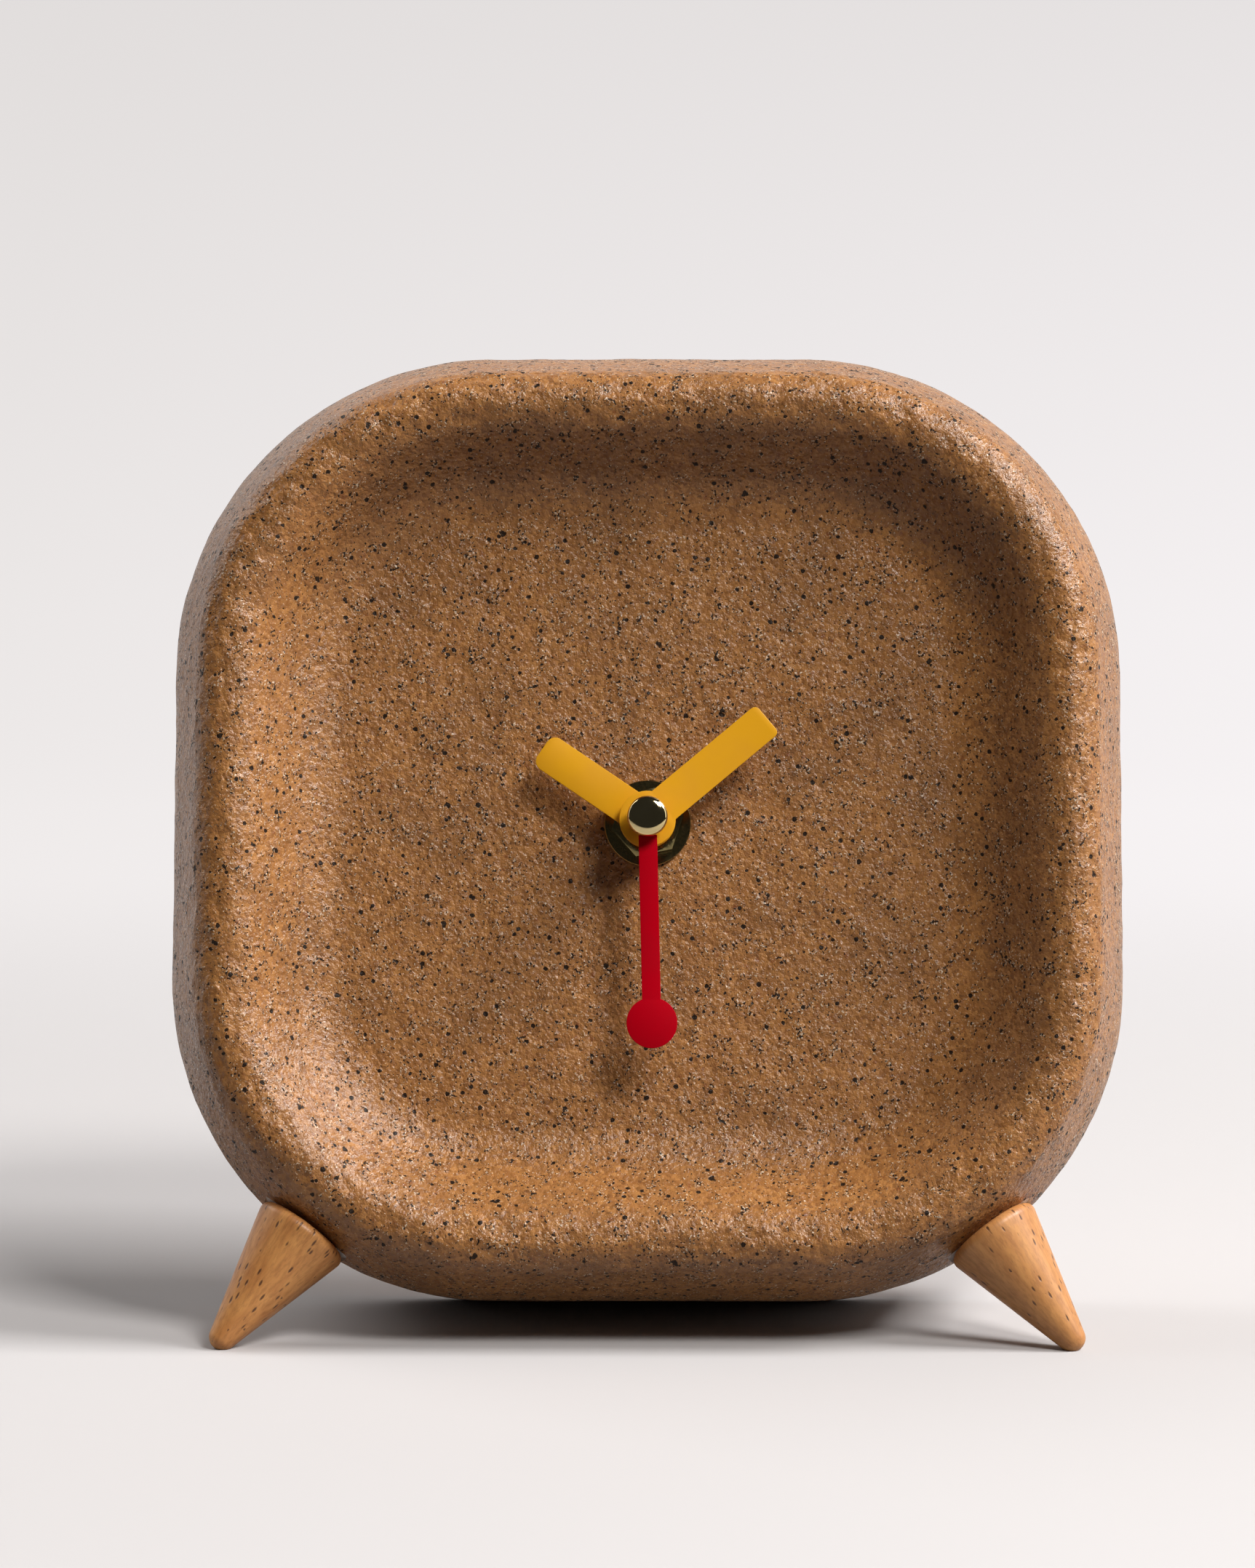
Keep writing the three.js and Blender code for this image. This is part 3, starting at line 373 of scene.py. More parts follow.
def turned_wood(name, axis, light, middle, dark):
    material, tree, shader = finish(name, middle, 0.45, Coat_Weight=0.12, Coat_Roughness=0.3)
    turn = axis.rotation_difference(Vector((0, 0, 1))).to_euler()
    grain_place = place_of(tree, turn, (1, 1, 0.06))
    broad = noise(tree, grain_place, 2.6, 3.0, 0.55, 0.6)
    streak = noise(tree, grain_place, 0.55, 4.0, 0.65)
    pores = pores_in(tree, turn)
    tone = mix(tree, remap(tree, broad, 0.35, 0.68), light, middle)
    tone = mix(tree, remap(tree, streak, 0.45, 0.75, 0.0, 0.55), tone, dark)
    tone = mix(tree, calc(tree, "MULTIPLY", pores, 0.85), tone, PORE_BROWN)
    height = calc(tree, "SUBTRACT", calc(tree, "MULTIPLY", streak, 0.3), pores)
    wire(tree, shader, Base_Color=tone, Normal=bump(tree, height, 0.06, 0.8),
         Roughness=remap(tree, streak, 0.3, 0.7, 0.36, 0.56))
    return material


print("wood is a function of the leg's direction")

# %% [markdown]
# ## Paint, brass, steel and plastics
# The hands are thin metal painted satin yellow and red. Paint is nearly even, with a faint drift of
# tone, a little dust and an orange-peel ripple.

# %% Materials: paint
def paint(name, base, deep, gloss):
    material, tree, shader = finish(name, base, 0.42, Specular_IOR_Level=gloss)
    place = place_of(tree)
    drift = noise(tree, place, 6)
    tone = mix(tree, remap(tree, drift, 0.35, 0.75, 0.0, 0.5), base, deep)
    dust = specks(tree, place, 1.6, 0.06, 0.2)
    tone = mix(tree, calc(tree, "MULTIPLY", dust, 0.35), tone, deep)
    ripple = noise(tree, place, 0.5)
    wire(tree, shader, Base_Color=tone, Normal=bump(tree, ripple, 0.012, 0.5),
         Roughness=remap(tree, drift, 0.3, 0.7, 0.32, 0.45))
    return material


YELLOW = paint("yellow_paint", colour(236, 168, 24), colour(226, 156, 18), 0.35)
RED = paint("red_paint", colour(186, 0, 22), colour(172, 0, 20), 0.06)
print("made", YELLOW.name, "and", RED.name)

# %% [markdown]
# The cap, nut and washer are brass with fine polishing marks: the cap is nearly a mirror, and the nut
# is duller and darker. The motor and its contacts are plainer metals with the same kind of marks.

# %% Materials: metals
def metal(name, base, dull, rough, marks_mm, relief_mm):
    """A bare metal with fine marks and a cloudy tone."""
    material, tree, shader = finish(name, base, rough, Metallic=1.0)
    place = place_of(tree)
    cloud = noise(tree, place, 3, 3.0)
    marks = noise(tree, place, marks_mm, 3.0, 0.6)
    wire(tree, shader, Normal=bump(tree, marks, relief_mm, 0.6),
         Base_Color=mix(tree, remap(tree, cloud, 0.35, 0.75, 0.0, 0.6), base, dull),
         Roughness=remap(tree, marks, 0.3, 0.7, rough * 0.75, rough * 1.35))
    return material


CAP_BRASS = metal("polished_brass", colour(232, 212, 160), colour(214, 190, 132), 0.07, 0.4, 0.002)
DARK_BRASS = metal("dark_brass", colour(150, 136, 92), colour(112, 98, 62), 0.2, 0.3, 0.004)
STEEL = metal("plain_steel", colour(196, 198, 202), colour(168, 170, 176), 0.28, 0.2, 0.004)
IRON = metal("motor_iron", colour(150, 152, 158), colour(122, 122, 128), 0.42, 0.3, 0.01)
MAGNET = metal("magnet", colour(92, 92, 98), colour(70, 70, 76), 0.38, 0.2, 0.008)
NICKEL = metal("nickel_spring", colour(206, 200, 188), colour(180, 174, 162), 0.24, 0.3, 0.004)
print("made six metals")

# %% [markdown]
# The coil is enamelled copper wire wound side by side. A wave across the coil's line gives the turns
# their ridges, and a little noise keeps them from looking machined. The same wave paints the colour
# darker in the grooves and lighter on the crests, as painted shade and painted light.

# %% Material: wound copper wire
RIDGE_SCALE = 2.2 / MM / math.tau


def copper_wire():
    material, tree, shader = finish("copper_wire", colour(196, 112, 58), 0.3, Metallic=1.0)
    turns = {"Vector": place_of(tree), "Scale": RIDGE_SCALE, "Distortion": 0.6, "Detail": 1.0}
    wave = add(tree, "ShaderNodeTexWave", turns, wave_type="BANDS", bands_direction="X")
    height = wave.outputs["Fac"]
    # Painted shade in the grooves between turns and painted light on their crests.
    wire(tree, shader, Base_Color=mix(tree, height, colour(120, 58, 28), colour(214, 128, 70)),
         Normal=bump(tree, height, 0.08, 0.9))
    return material


COPPER = copper_wire()
print("made", COPPER.name)

# %% [markdown]
# Moulded plastic has a fine spark-eroded grain, a slightly uneven gloss and a drift of tone. Rubber,
# resin, the board, the cell's sleeve and the plain dowels are the same recipe in other measures.

# %% Materials: plastics, rubber and resin
def plastic(name, base, worn, rough, grain_mm, relief_mm, **more):
    material, tree, shader = finish(name, base, rough, **more)
    place = place_of(tree)
    grain = noise(tree, place, grain_mm, 3.0, 0.65)
    drift = noise(tree, place, 9)
    wire(tree, shader, Normal=bump(tree, grain, relief_mm, 0.8),
         Base_Color=mix(tree, remap(tree, drift, 0.35, 0.7, 0.0, 0.6), base, worn),
         Roughness=remap(tree, grain, 0.3, 0.7, rough * 0.82, rough * 1.2))
    return material


BLACK_PLASTIC = plastic("black_plastic", colour(30, 31, 33), colour(42, 43, 45), 0.5, 0.22, 0.03)
DARK_PLASTIC = plastic("dark_plastic", colour(32, 36, 44), colour(44, 48, 56), 0.5, 0.2, 0.02)
ACETAL = plastic("white_acetal", colour(232, 228, 216), colour(214, 208, 192), 0.42, 0.3, 0.01,
                 Subsurface_Weight=0.15, Subsurface_Scale=0.002)
RUBBER = plastic("gasket_rubber", colour(26, 26, 27), colour(38, 38, 38), 0.8, 0.25, 0.03)
BOARD = plastic("green_board", colour(38, 86, 48), colour(52, 106, 60), 0.4, 0.4, 0.02)
RESIN = plastic("chip_resin", colour(20, 21, 25), colour(30, 31, 34), 0.3, 0.8, 0.03)
DOWEL_WOOD = plastic("dowel_wood", colour(214, 178, 124), colour(190, 150, 98), 0.62, 0.35, 0.05)
SLEEVE = plastic("cell_sleeve", colour(56, 78, 104), colour(48, 68, 92), 0.32, 1.2, 0.012,
                 Coat_Weight=0.4)
print("made the plastics")

# %% [markdown]
# ## The body's shape
# Every level line of the body is the same kind of curve: a square with straight sides and round
# corners. Only three numbers change from the dial outwards over the rim and round to the back: half
# the straight side, the corner's radius and the depth. So the section is written once as a list of
# such triples, and a node tree sweeps it round.

# %% The body's measures and drawing helpers
STRAIGHT, CORNER, BODY_DEPTH = 26.9, 55.6, 50.0
DISH_DEPTH, DISH_CROWN, HUB_SEAT, BUSH_HOLE = 13.6, 0.8, 9.0, 4.2
RIM_INSET, RIM_RADIUS, DRAFT = 10.0, 6.0, math.radians(22)
LIP_RADIUS, FILLET_RADIUS, SLOPE = 8.0, 14.0, math.radians(47)
EDGE_RADIUS = 2.0
POCKET_STRAIGHT, POCKET_CORNER, POCKET_FLOOR, POCKET_EDGE = 25.0, 10.0, 19.6, 1.2


def arc(centre, radius, start, end, steps):
    """Points of an arc as (inset, depth) pairs."""
    turns = [start + (end - start) * i / steps for i in range(steps + 1)]
    return [(centre[0] + radius * math.cos(t), centre[1] + radius * math.sin(t)) for t in turns]


def line(first, last, steps):
    """Points between two ends, without the ends."""
    shares = [i / steps for i in range(1, steps)]
    return [tuple(a + (b - a) * s for a, b in zip(first, last)) for s in shares]


print("the body is", 2 * (STRAIGHT + CORNER), "mm wide and", BODY_DEPTH, "mm deep")

# %% [markdown]
# From the dial's edge a hollow fillet climbs to a rounded lip, the rim rolls over its crest, and the
# wall widens to a ridge before it runs back. The dial itself is slightly crowned: its level lines
# shrink from the fillet's foot to a small round seat for the washer.

# %% The body's section
DIAL_ROWS = 40


def skin_line():
    """(inset, depth) pairs from the dial's edge over the rim to the back."""
    lip_drop = LIP_RADIUS * (1 - math.cos(SLOPE))
    fillet_drop = FILLET_RADIUS * (1 - math.cos(SLOPE))
    dial_edge = DISH_DEPTH - DISH_CROWN
    run = (dial_edge - lip_drop - fillet_drop) / math.tan(SLOPE)
    foot = (RIM_INSET + (LIP_RADIUS + FILLET_RADIUS) * math.sin(SLOPE) + run, dial_edge - FILLET_RADIUS)
    fillet = arc(foot, FILLET_RADIUS, QUARTER, QUARTER + SLOPE, 12)
    lip = arc((RIM_INSET, LIP_RADIUS), LIP_RADIUS, SLOPE - QUARTER, -QUARTER, 9)
    rim = arc((RIM_INSET, RIM_RADIUS), RIM_RADIUS, -QUARTER, DRAFT - math.pi, 14)[1:]
    ridge = (0, rim[-1][1] + rim[-1][0] / math.tan(DRAFT))
    edge = arc((EDGE_RADIUS, BODY_DEPTH - EDGE_RADIUS), EDGE_RADIUS, math.pi, QUARTER, 6)
    return [*fillet, *line(fillet[-1], lip[0], 5), *lip, *rim, *line(rim[-1], ridge, 6), ridge,
            *line(ridge, edge[0], 22), *edge]


def body_section():
    """(half straight side, corner radius, depth) from the shaft's hole round and back to it."""
    rings = [(STRAIGHT, CORNER - inset, depth) for inset, depth in skin_line()]
    dial = []
    for share in [row / DIAL_ROWS for row in range(DIAL_ROWS)]:
        radius = HUB_SEAT + (rings[0][1] - HUB_SEAT) * share
        dial.append((STRAIGHT * share, radius, DISH_DEPTH - DISH_CROWN * share * share))
    hole = (0, BUSH_HOLE, DISH_DEPTH)
    mouth = (POCKET_STRAIGHT, POCKET_CORNER + POCKET_EDGE, BODY_DEPTH)
    brink = (POCKET_STRAIGHT, POCKET_CORNER, BODY_DEPTH - POCKET_EDGE)
    foot = (POCKET_STRAIGHT, POCKET_CORNER, POCKET_FLOOR)
    back_hole = (0, BUSH_HOLE, POCKET_FLOOR)
    return [hole, *line(hole, dial[0], 3), *dial, *rings, *line(rings[-1], mouth, 16), mouth,
            *line(mouth, brink, 2), brink, *line(brink, foot, 12), foot,
            *line(foot, back_hole, 10), back_hole, *line(back_hole, hole, 3), hole]


section = body_section()
points = bpy.data.meshes.new("pressed_body")
points.from_pydata([tuple(x * MM for x in p) for p in section], [], [])
body = in_scene("pressed_body", points)
print("the body's section has", len(section), "points")

# %% [markdown]
# The section goes to the tree as loose points, which it reads by number. The tree makes the outline
# once as a rounded square, lays a grid with one row for each point of the section, and lets each grid
# point look up its outline point and its section triple. The outline point splits into a corner
# centre and a direction outwards, which gives the place on any level line.

# %% Sweep tree: where each grid point goes
CORNER_STEPS = 64


def geometry_tree(name, inputs):
    """A tree that takes and gives a geometry, with named inputs for its sizes."""
    tree = bpy.data.node_groups.new(name, "GeometryNodeTree")
    for socket, kind in (("Geometry", "Geometry"), *inputs.items()):
        tree.interface.new_socket(socket, in_out="INPUT", socket_type="NodeSocket" + kind)
    tree.interface.new_socket("Geometry", in_out="OUTPUT", socket_type="NodeSocketGeometry")
    return tree, add(tree, "NodeGroupInput").outputs


def outline_points(tree, given):
    """Points round the outermost level line."""
    side = calc(tree, "MULTIPLY", calc(tree, "ADD", given["Straight"], given["Corner"]), 2.0)
    square = add(tree, "GeometryNodeCurvePrimitiveQuadrilateral", {"Width": side, "Height": side})
    rounded = add(tree, "GeometryNodeFilletCurve", {
        "Curve": square.outputs[0], "Radius": given["Corner"], "Count": CORNER_STEPS}, mode="POLY")
    even = add(tree, "GeometryNodeResampleCurve", {
        "Curve": rounded.outputs[0], "Count": given["Columns"]})
    points = add(tree, "GeometryNodeCurveToPoints", {"Curve": even.outputs[0]}, mode="EVALUATED")
    return points.outputs[0]


def looked_up(tree, geometry, number):
    """Where the point with this number is."""
    inputs = {"Geometry": geometry, "Value": add(tree, "GeometryNodeInputPosition").outputs[0],
              "Index": number}
    return add(tree, "GeometryNodeSampleIndex", inputs, data_type="FLOAT_VECTOR", clamp=True).outputs[0]


def swept_place(tree, given):
    """A grid point's place, half the width of its level line (its reach), and its depth."""
    index = add(tree, "GeometryNodeInputIndex").outputs[0]
    row = calc(tree, "MODULO", index, given["Rows"])
    column = calc(tree, "DIVIDE", calc(tree, "ADD", index, 0.5), given["Rows"])
    column = calc(tree, "MODULO", calc(tree, "FLOOR", column), given["Columns"])
    rim = looked_up(tree, outline_points(tree, given), column)
    triple = looked_up(tree, given["Geometry"], row)
    straight, corner, depth = add(tree, "ShaderNodeSeparateXYZ", {0: triple}).outputs
    limit = add(tree, "ShaderNodeCombineXYZ", {0: given["Straight"], 1: given["Straight"]}).outputs[0]
    nearest = vector_calc(tree, "MINIMUM", rim, limit)
    centre = vector_calc(tree, "MAXIMUM", nearest, scaled(tree, limit, -1.0))
    outwards = vector_calc(tree, "NORMALIZE", vector_calc(tree, "SUBTRACT", rim, centre))
    inner_centre = scaled(tree, centre, calc(tree, "DIVIDE", straight, given["Straight"]))
    flat = vector_calc(tree, "ADD", inner_centre, scaled(tree, outwards, corner))
    flat = add(tree, "ShaderNodeSeparateXYZ", {0: flat}).outputs
    place = add(tree, "ShaderNodeCombineXYZ", {0: flat[0], 1: depth, 2: flat[1]}).outputs[0]
    return place, calc(tree, "ADD", straight, corner), depth


print("the sweep looks up its outline and its section")

# %% [markdown]
# Noise then dents the pressed skin, deepest on the crest of the rim, where the moulded edge crumbles.
# Three shares between 0 and 1, stored on the mesh as attributes, say where: the outer wall, the crest
# and the skin as a whole, which leaves out the washer's seat and the pocket. The grid's normals point
# into the body, so an offset along them only ever takes material away, and the body stays inside its
# measured size.

# %% Sweep tree: dents and crumbled crest
def zones(tree, given, reach, depth):
    outer = calc(tree, "ADD", given["Straight"], given["Corner"])
    inset = calc(tree, "SUBTRACT", outer, reach)
    wall = calc(tree, "MULTIPLY", remap(tree, inset, 0.0008, 0.004, 1.0, 0.0),
                remap(tree, depth, 0.010, 0.016))
    off_crest = calc(tree, "ABSOLUTE", calc(tree, "SUBTRACT", inset, 0.009))
    crest = calc(tree, "MULTIPLY", remap(tree, off_crest, 0.002, 0.009, 1.0, 0.0, "SMOOTHSTEP"),
                 remap(tree, depth, 0.004, 0.009, 1.0, 0.0))
    pocket = calc(tree, "MULTIPLY", remap(tree, depth, 0.0455, 0.0495),
                  remap(tree, reach, 0.045, 0.055, 1.0, 0.0))
    skin = calc(tree, "MULTIPLY", remap(tree, reach, 0.009, 0.016),
                remap(tree, pocket, 0.0, 1.0, 1.0, 0.0))
    return {"wall": wall, "crest": crest, "skin": skin}


def relief(tree, given, size, detail, crown):
    """How far the surface lies below a crown that this noise hardly passes."""
    inputs = {"Scale": calc(tree, "DIVIDE", 1.0, size), "Detail": detail, "Roughness": 0.6,
              "W": given["Seed"]}
    wave = add(tree, "ShaderNodeTexNoise", inputs, noise_dimensions="4D").outputs["Fac"]
    return calc(tree, "SUBTRACT", crown, wave)


def stored(tree, name):
    return add(tree, "GeometryNodeInputNamedAttribute", {"Name": name}, data_type="FLOAT").outputs[0]


def sunk_depth(tree, given):
    """How deep each point sinks: lumps everywhere, and chips on the crest only."""
    lumps = relief(tree, given, given["Lump Size"], 4.0, 0.72)
    chips = relief(tree, given, calc(tree, "MULTIPLY", given["Lump Size"], 0.3), 3.0, 0.53)
    lumps = calc(tree, "MULTIPLY", lumps, given["Lump Height"])
    chips = calc(tree, "MULTIPLY", calc(tree, "MAXIMUM", chips, 0.0), given["Crumble Height"])
    sunk = calc(tree, "ADD", lumps, calc(tree, "MULTIPLY", chips, stored(tree, "crest")))
    return calc(tree, "MULTIPLY", sunk, stored(tree, "skin"))


print("the relief only sinks")

# %% Sweep tree: the whole
def sweep_tree():
    tree, given = geometry_tree("rounded_sweep", {
        "Straight": "Float", "Corner": "Float", "Columns": "Int", "Rows": "Int", "Lump Size": "Float",
        "Lump Height": "Float", "Crumble Height": "Float", "Seed": "Float", "Finish": "Material"})

    def then(shape, kind, inputs=(), **settings):
        return add(tree, kind, {"Geometry": shape.outputs[0], **dict(inputs)}, **settings)

    columns = calc(tree, "ADD", given["Columns"], 1.0)
    grid = add(tree, "GeometryNodeMeshGrid", {"Vertices X": columns, "Vertices Y": given["Rows"]})
    place, reach, depth = swept_place(tree, given)
    shape = add(tree, "GeometryNodeSetPosition", {"Geometry": grid.outputs[0], "Position": place})
    for name, share in zones(tree, given, reach, depth).items():
        shape = then(shape, "GeometryNodeStoreNamedAttribute", {"Name": name, "Value": share},
                     data_type="FLOAT", domain="POINT")
    shape = then(shape, "GeometryNodeMergeByDistance", {"Distance": 2e-6})
    inwards = add(tree, "GeometryNodeInputNormal").outputs[0]
    offset = scaled(tree, inwards, sunk_depth(tree, given))
    shape = then(shape, "GeometryNodeSetPosition", {"Offset": offset})
    shape = then(shape, "GeometryNodeSetShadeSmooth")
    shape = then(shape, "GeometryNodeRealizeInstances")
    shape = then(shape, "GeometryNodeSetMaterial", {"Material": given["Finish"]})
    add(tree, "NodeGroupOutput", {0: shape.outputs[0]})
    return tree


SWEEP = sweep_tree()
print("the sweep tree has", len(SWEEP.nodes), "nodes")

# %% [markdown]
# A node tree's result stays live until it is turned into a plain mesh. These helpers fill in the
# tree's inputs by name, evaluate it, keep the mesh, and cut it with plain tools by Boolean modifiers.

# %% Helpers for meshes
def applied(obj):
    """Turns what the modifiers show into the object's own mesh."""
    depsgraph = bpy.context.evaluated_depsgraph_get()
    mesh = bpy.data.meshes.new_from_object(obj.evaluated_get(depsgraph))
    old = obj.data
    obj.modifiers.clear()
    obj.data = mesh
    mesh.name = obj.name
    bpy.data.meshes.remove(old)
    return obj


def fixed_by_nodes(obj, tree, values):
    modifier = obj.modifiers.new(tree.name, "NODES")
    modifier.node_group = tree
    sockets = {item.name: item.identifier for item in tree.interface.items_tree
               if item.item_type == "SOCKET" and item.in_out == "INPUT"}
    for name, value in values.items():
        modifier[sockets[name]] = value
    return applied(obj)


def carved(obj, *cutters):
    for cutter in cutters:
        modifier = obj.modifiers.new("cut", "BOOLEAN")
        modifier.operation, modifier.solver, modifier.object = "DIFFERENCE", "EXACT", cutter
    applied(obj)
    for cutter in cutters:
        bpy.data.objects.remove(cutter)
    return obj


def cleaned(obj, sharp_degrees=35):
    """Faces outwards, smooth shading, and sharp edges where the surface really turns."""
    sheet = bmesh.new()
    sheet.from_mesh(obj.data)
    if sheet.calc_volume(signed=True) < 0:
        bmesh.ops.reverse_faces(sheet, faces=sheet.faces)
    sheet.to_mesh(obj.data)
    sheet.free()
    obj.data.shade_smooth()
    obj.data.set_sharp_from_angle(angle=math.radians(sharp_degrees))
    return obj


def moved(obj, matrix):
    """Moves the mesh itself, so that the object stays at the origin."""
    obj.data.transform(matrix)
    return obj


def triangles(obj):
    return sum(len(p.vertices) - 2 for p in obj.data.polygons)


print("helpers for meshes are ready")

# %% [markdown]
# Turned pieces are drawn as half a section and spun round. Their section is a list of radius and
# height pairs, from one end of the axis to the other. The other helper is the table itself as a
# block, which cuts a flat on whatever stands on it.

# %% Helpers for turned pieces and for the table
TABLE_BLOCK = (0.4, 0.4, 0.1)


def as_mesh(sheet, name):
    mesh = bpy.data.meshes.new(name)
    sheet.to_mesh(mesh)
    sheet.free()
    return mesh


def spun(name, section, sides, place, material=None):
    """A closed section of (radius, height) pairs spun round Z, then placed."""
    sheet = bmesh.new()
    ring = [sheet.verts.new((r, 0, h)) for r, h in section]
    edges = [sheet.edges.new((a, b)) for a, b in zip(ring, ring[1:])]
    if section[0][0] > 0 and section[-1][0] > 0:
        edges.append(sheet.edges.new((ring[-1], ring[0])))
    bmesh.ops.spin(sheet, geom=[*ring, *edges], cent=(0, 0, 0), axis=(0, 0, 1), angle=math.tau,
                   steps=sides, use_merge=True)
    bmesh.ops.remove_doubles(sheet, verts=sheet.verts, dist=1e-5)
    bmesh.ops.recalc_face_normals(sheet, faces=sheet.faces)
    mesh = as_mesh(sheet, name)
    if material is not None:
        mesh.materials.append(material)
    return cleaned(moved(in_scene(name, mesh), place))


def table_cutter():
    sheet = bmesh.new()
    bmesh.ops.create_cube(sheet, size=1)
    bmesh.ops.scale(sheet, verts=sheet.verts, vec=TABLE_BLOCK)
    bmesh.ops.translate(sheet, verts=sheet.verts, vec=(0, 0, -TABLE_BLOCK[2] / 2))
    return in_scene("table_cut", as_mesh(sheet, "table_cut"))


print("helpers for turned pieces are ready")

# %% [markdown]
# ## Where the legs sit
# Each leg points outwards from a lower corner of the body and a little forwards. A leg has its own
# frame: its Z runs down the leg from the middle of its seat.

# %% The legs' frames
SPLAY, FORWARD, SEAT_DEPTH, SEAT_INSET = math.radians(53.7), math.radians(10), 11.8, 1.9
LEG_BASE, LEG_EDGE, LEG_TIP, FIT = 8.4, 1.5, 2.4, 0.25
DOWEL, DOWEL_LENGTH = 3.0, 22.0


def leg_frame(side):
    outwards = Vector((side * math.cos(SPLAY), 0, -math.sin(SPLAY)))
    direction = outwards * math.cos(FORWARD) + Vector((0, -math.sin(FORWARD), 0))
    base = Vector((side * STRAIGHT, SEAT_DEPTH, -STRAIGHT)) + outwards * (CORNER - SEAT_INSET)
    turn = Vector((0, 0, 1)).rotation_difference(direction).to_matrix().to_4x4()
    return CLOCK @ Matrix.Translation(base) @ turn


LEGS = {"left": leg_frame(-1), "right": leg_frame(1)}
for word, place in LEGS.items():
    print(word, "leg starts at", [round(x, 4) for x in place.translation])

# %% [markdown]
# ## Body
# The swept body gets its cuts: the round seats that the legs stand in, the dowel holes and the
# narrow flat where its rear edge stands on the table.

# %% Body
SEAT_CUT = 20


def seat_section():
    """Half the section of a leg's seat with its dowel hole, wide open below."""
    dowel, seat = DOWEL + FIT, LEG_BASE + FIT
    depth = DOWEL_LENGTH / 2 + FIT
    return [(0, -depth), (dowel, -depth), (dowel, -FIT), (seat, -FIT), (seat, SEAT_CUT), (0, SEAT_CUT)]


fixed_by_nodes(body, SWEEP, {
    "Straight": STRAIGHT * MM, "Corner": CORNER * MM, "Columns": 440, "Rows": len(section),
    "Lump Size": 0.008, "Lump Height": 0.0007, "Crumble Height": 0.0024, "Seed": 4.0,
    "Finish": PRESSED_FIBRE})
cleaned(moved(body, CLOCK @ Matrix.Scale(1 / MM, 4)))
seats = [spun(word + "_seat_cut", seat_section(), 72, place) for word, place in LEGS.items()]
cleaned(carved(body, table_cutter(), *seats), 50)
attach(body, "base")
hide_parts("clock_body")
print("body:", triangles(body), "triangles")

# %% [markdown]
# ## Legs
# A leg is a short cone with a rounded foot. Its wide end has a small round edge and the hole for the
# dowel. The foot's ball is cut a little flat where it stands, so the leg reaches a little below the
# table before the cut.

# %% Legs
FOOT_FLAT = 0.4


def leg_section(place):
    """The leg's half section. The length is what reaches the table from its seat."""
    start = place.translation
    fall = (start - place @ Vector((0, 0, 1))).z / MM
    length = (start.z / MM - LEG_TIP + FOOT_FLAT) / fall
    taper = math.asin((LEG_BASE - LEG_TIP) / (length - LEG_EDGE))
    edge = arc((LEG_BASE - LEG_EDGE, LEG_EDGE), LEG_EDGE, -QUARTER, taper, 8)
    ball = arc((0, length), LEG_TIP, taper, QUARTER, 12)
    side = line(edge[-1], ball[0], 14)
    depth = DOWEL_LENGTH / 2 + FIT
    hole = [(0, depth), (DOWEL + FIT, depth), (DOWEL + FIT, 0)]
    return [*hole, *line(hole[-1], edge[0], 3), *edge, *side, *ball[:-1], (0, length + LEG_TIP)]


# Both legs are one wood. The left leg's tones are painted lighter, as painted light that lifts the shade
# it stands in.
LEG_WOODS_LEFT_PAINTED_LIGHTER = {
    "left": (colour(226, 160, 92), colour(198, 130, 70), colour(146, 84, 42)),
    "right": (colour(212, 150, 88), colour(186, 124, 70), colour(142, 86, 44)),
}
for word, place in LEGS.items():
    axis = (place.to_3x3() @ Vector((0, 0, 1))).normalized()
    wood = turned_wood("turned_wood_" + word, axis, *LEG_WOODS_LEFT_PAINTED_LIGHTER[word])
    leg = spun("wooden_" + word + "_leg", leg_section(place), 96, place, wood)
    cleaned(carved(leg, table_cutter()), 50)
    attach(leg, "base")
    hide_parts(word + "_leg")
    print(leg.name, triangles(leg), "triangles")

# %% [markdown]
# ## Hands
# Hands are blanked from sheet metal, so they are flat shapes with a thickness and a slightly rounded
# edge. A flat curve with a hole can be drawn point by point, thickened by its extrude setting and
# given a fine bevel, and then turned into a mesh.

# %% A helper for flat plates
def flat_plate(name, loops, front, back, bevel, place, material):
    """A plate between two depths from closed loops of (across, up) points. Inner loops are holes."""
    drawing = bpy.data.curves.new(name, "CURVE")
    drawing.dimensions, drawing.fill_mode = "2D", "BOTH"
    drawing.extrude = (back - front) / 2 - bevel
    drawing.bevel_depth, drawing.bevel_resolution, drawing.offset = bevel, 2, -bevel
    for loop in loops:
        spline = drawing.splines.new("POLY")
        spline.points.add(len(loop) - 1)
        for point, (across, up) in zip(spline.points, loop):
            point.co = (across, up, 0, 1)
        spline.use_cyclic_u = True
    source = in_scene(name, drawing)
    depsgraph = bpy.context.evaluated_depsgraph_get()
    mesh = bpy.data.meshes.new_from_object(source.evaluated_get(depsgraph))
    bpy.data.objects.remove(source)
    bpy.data.curves.remove(drawing)
    mesh.name = name
    mesh.materials.clear()
    mesh.materials.append(material)
    sheet = bmesh.new()
    sheet.from_mesh(mesh)
    bmesh.ops.remove_doubles(sheet, verts=sheet.verts, dist=1e-4)
    bmesh.ops.recalc_face_normals(sheet, faces=sheet.faces)
    sheet.to_mesh(mesh)
    sheet.free()
    plate = in_scene(name, mesh)
    moved(plate, place @ Matrix.Translation((0, 0, -(front + back) / 2)))
    return cleaned(plate, 30)


def circle(radius, steps=72):
    return arc((0, 0), radius, 0, math.tau * (1 - 1 / steps), steps - 1)


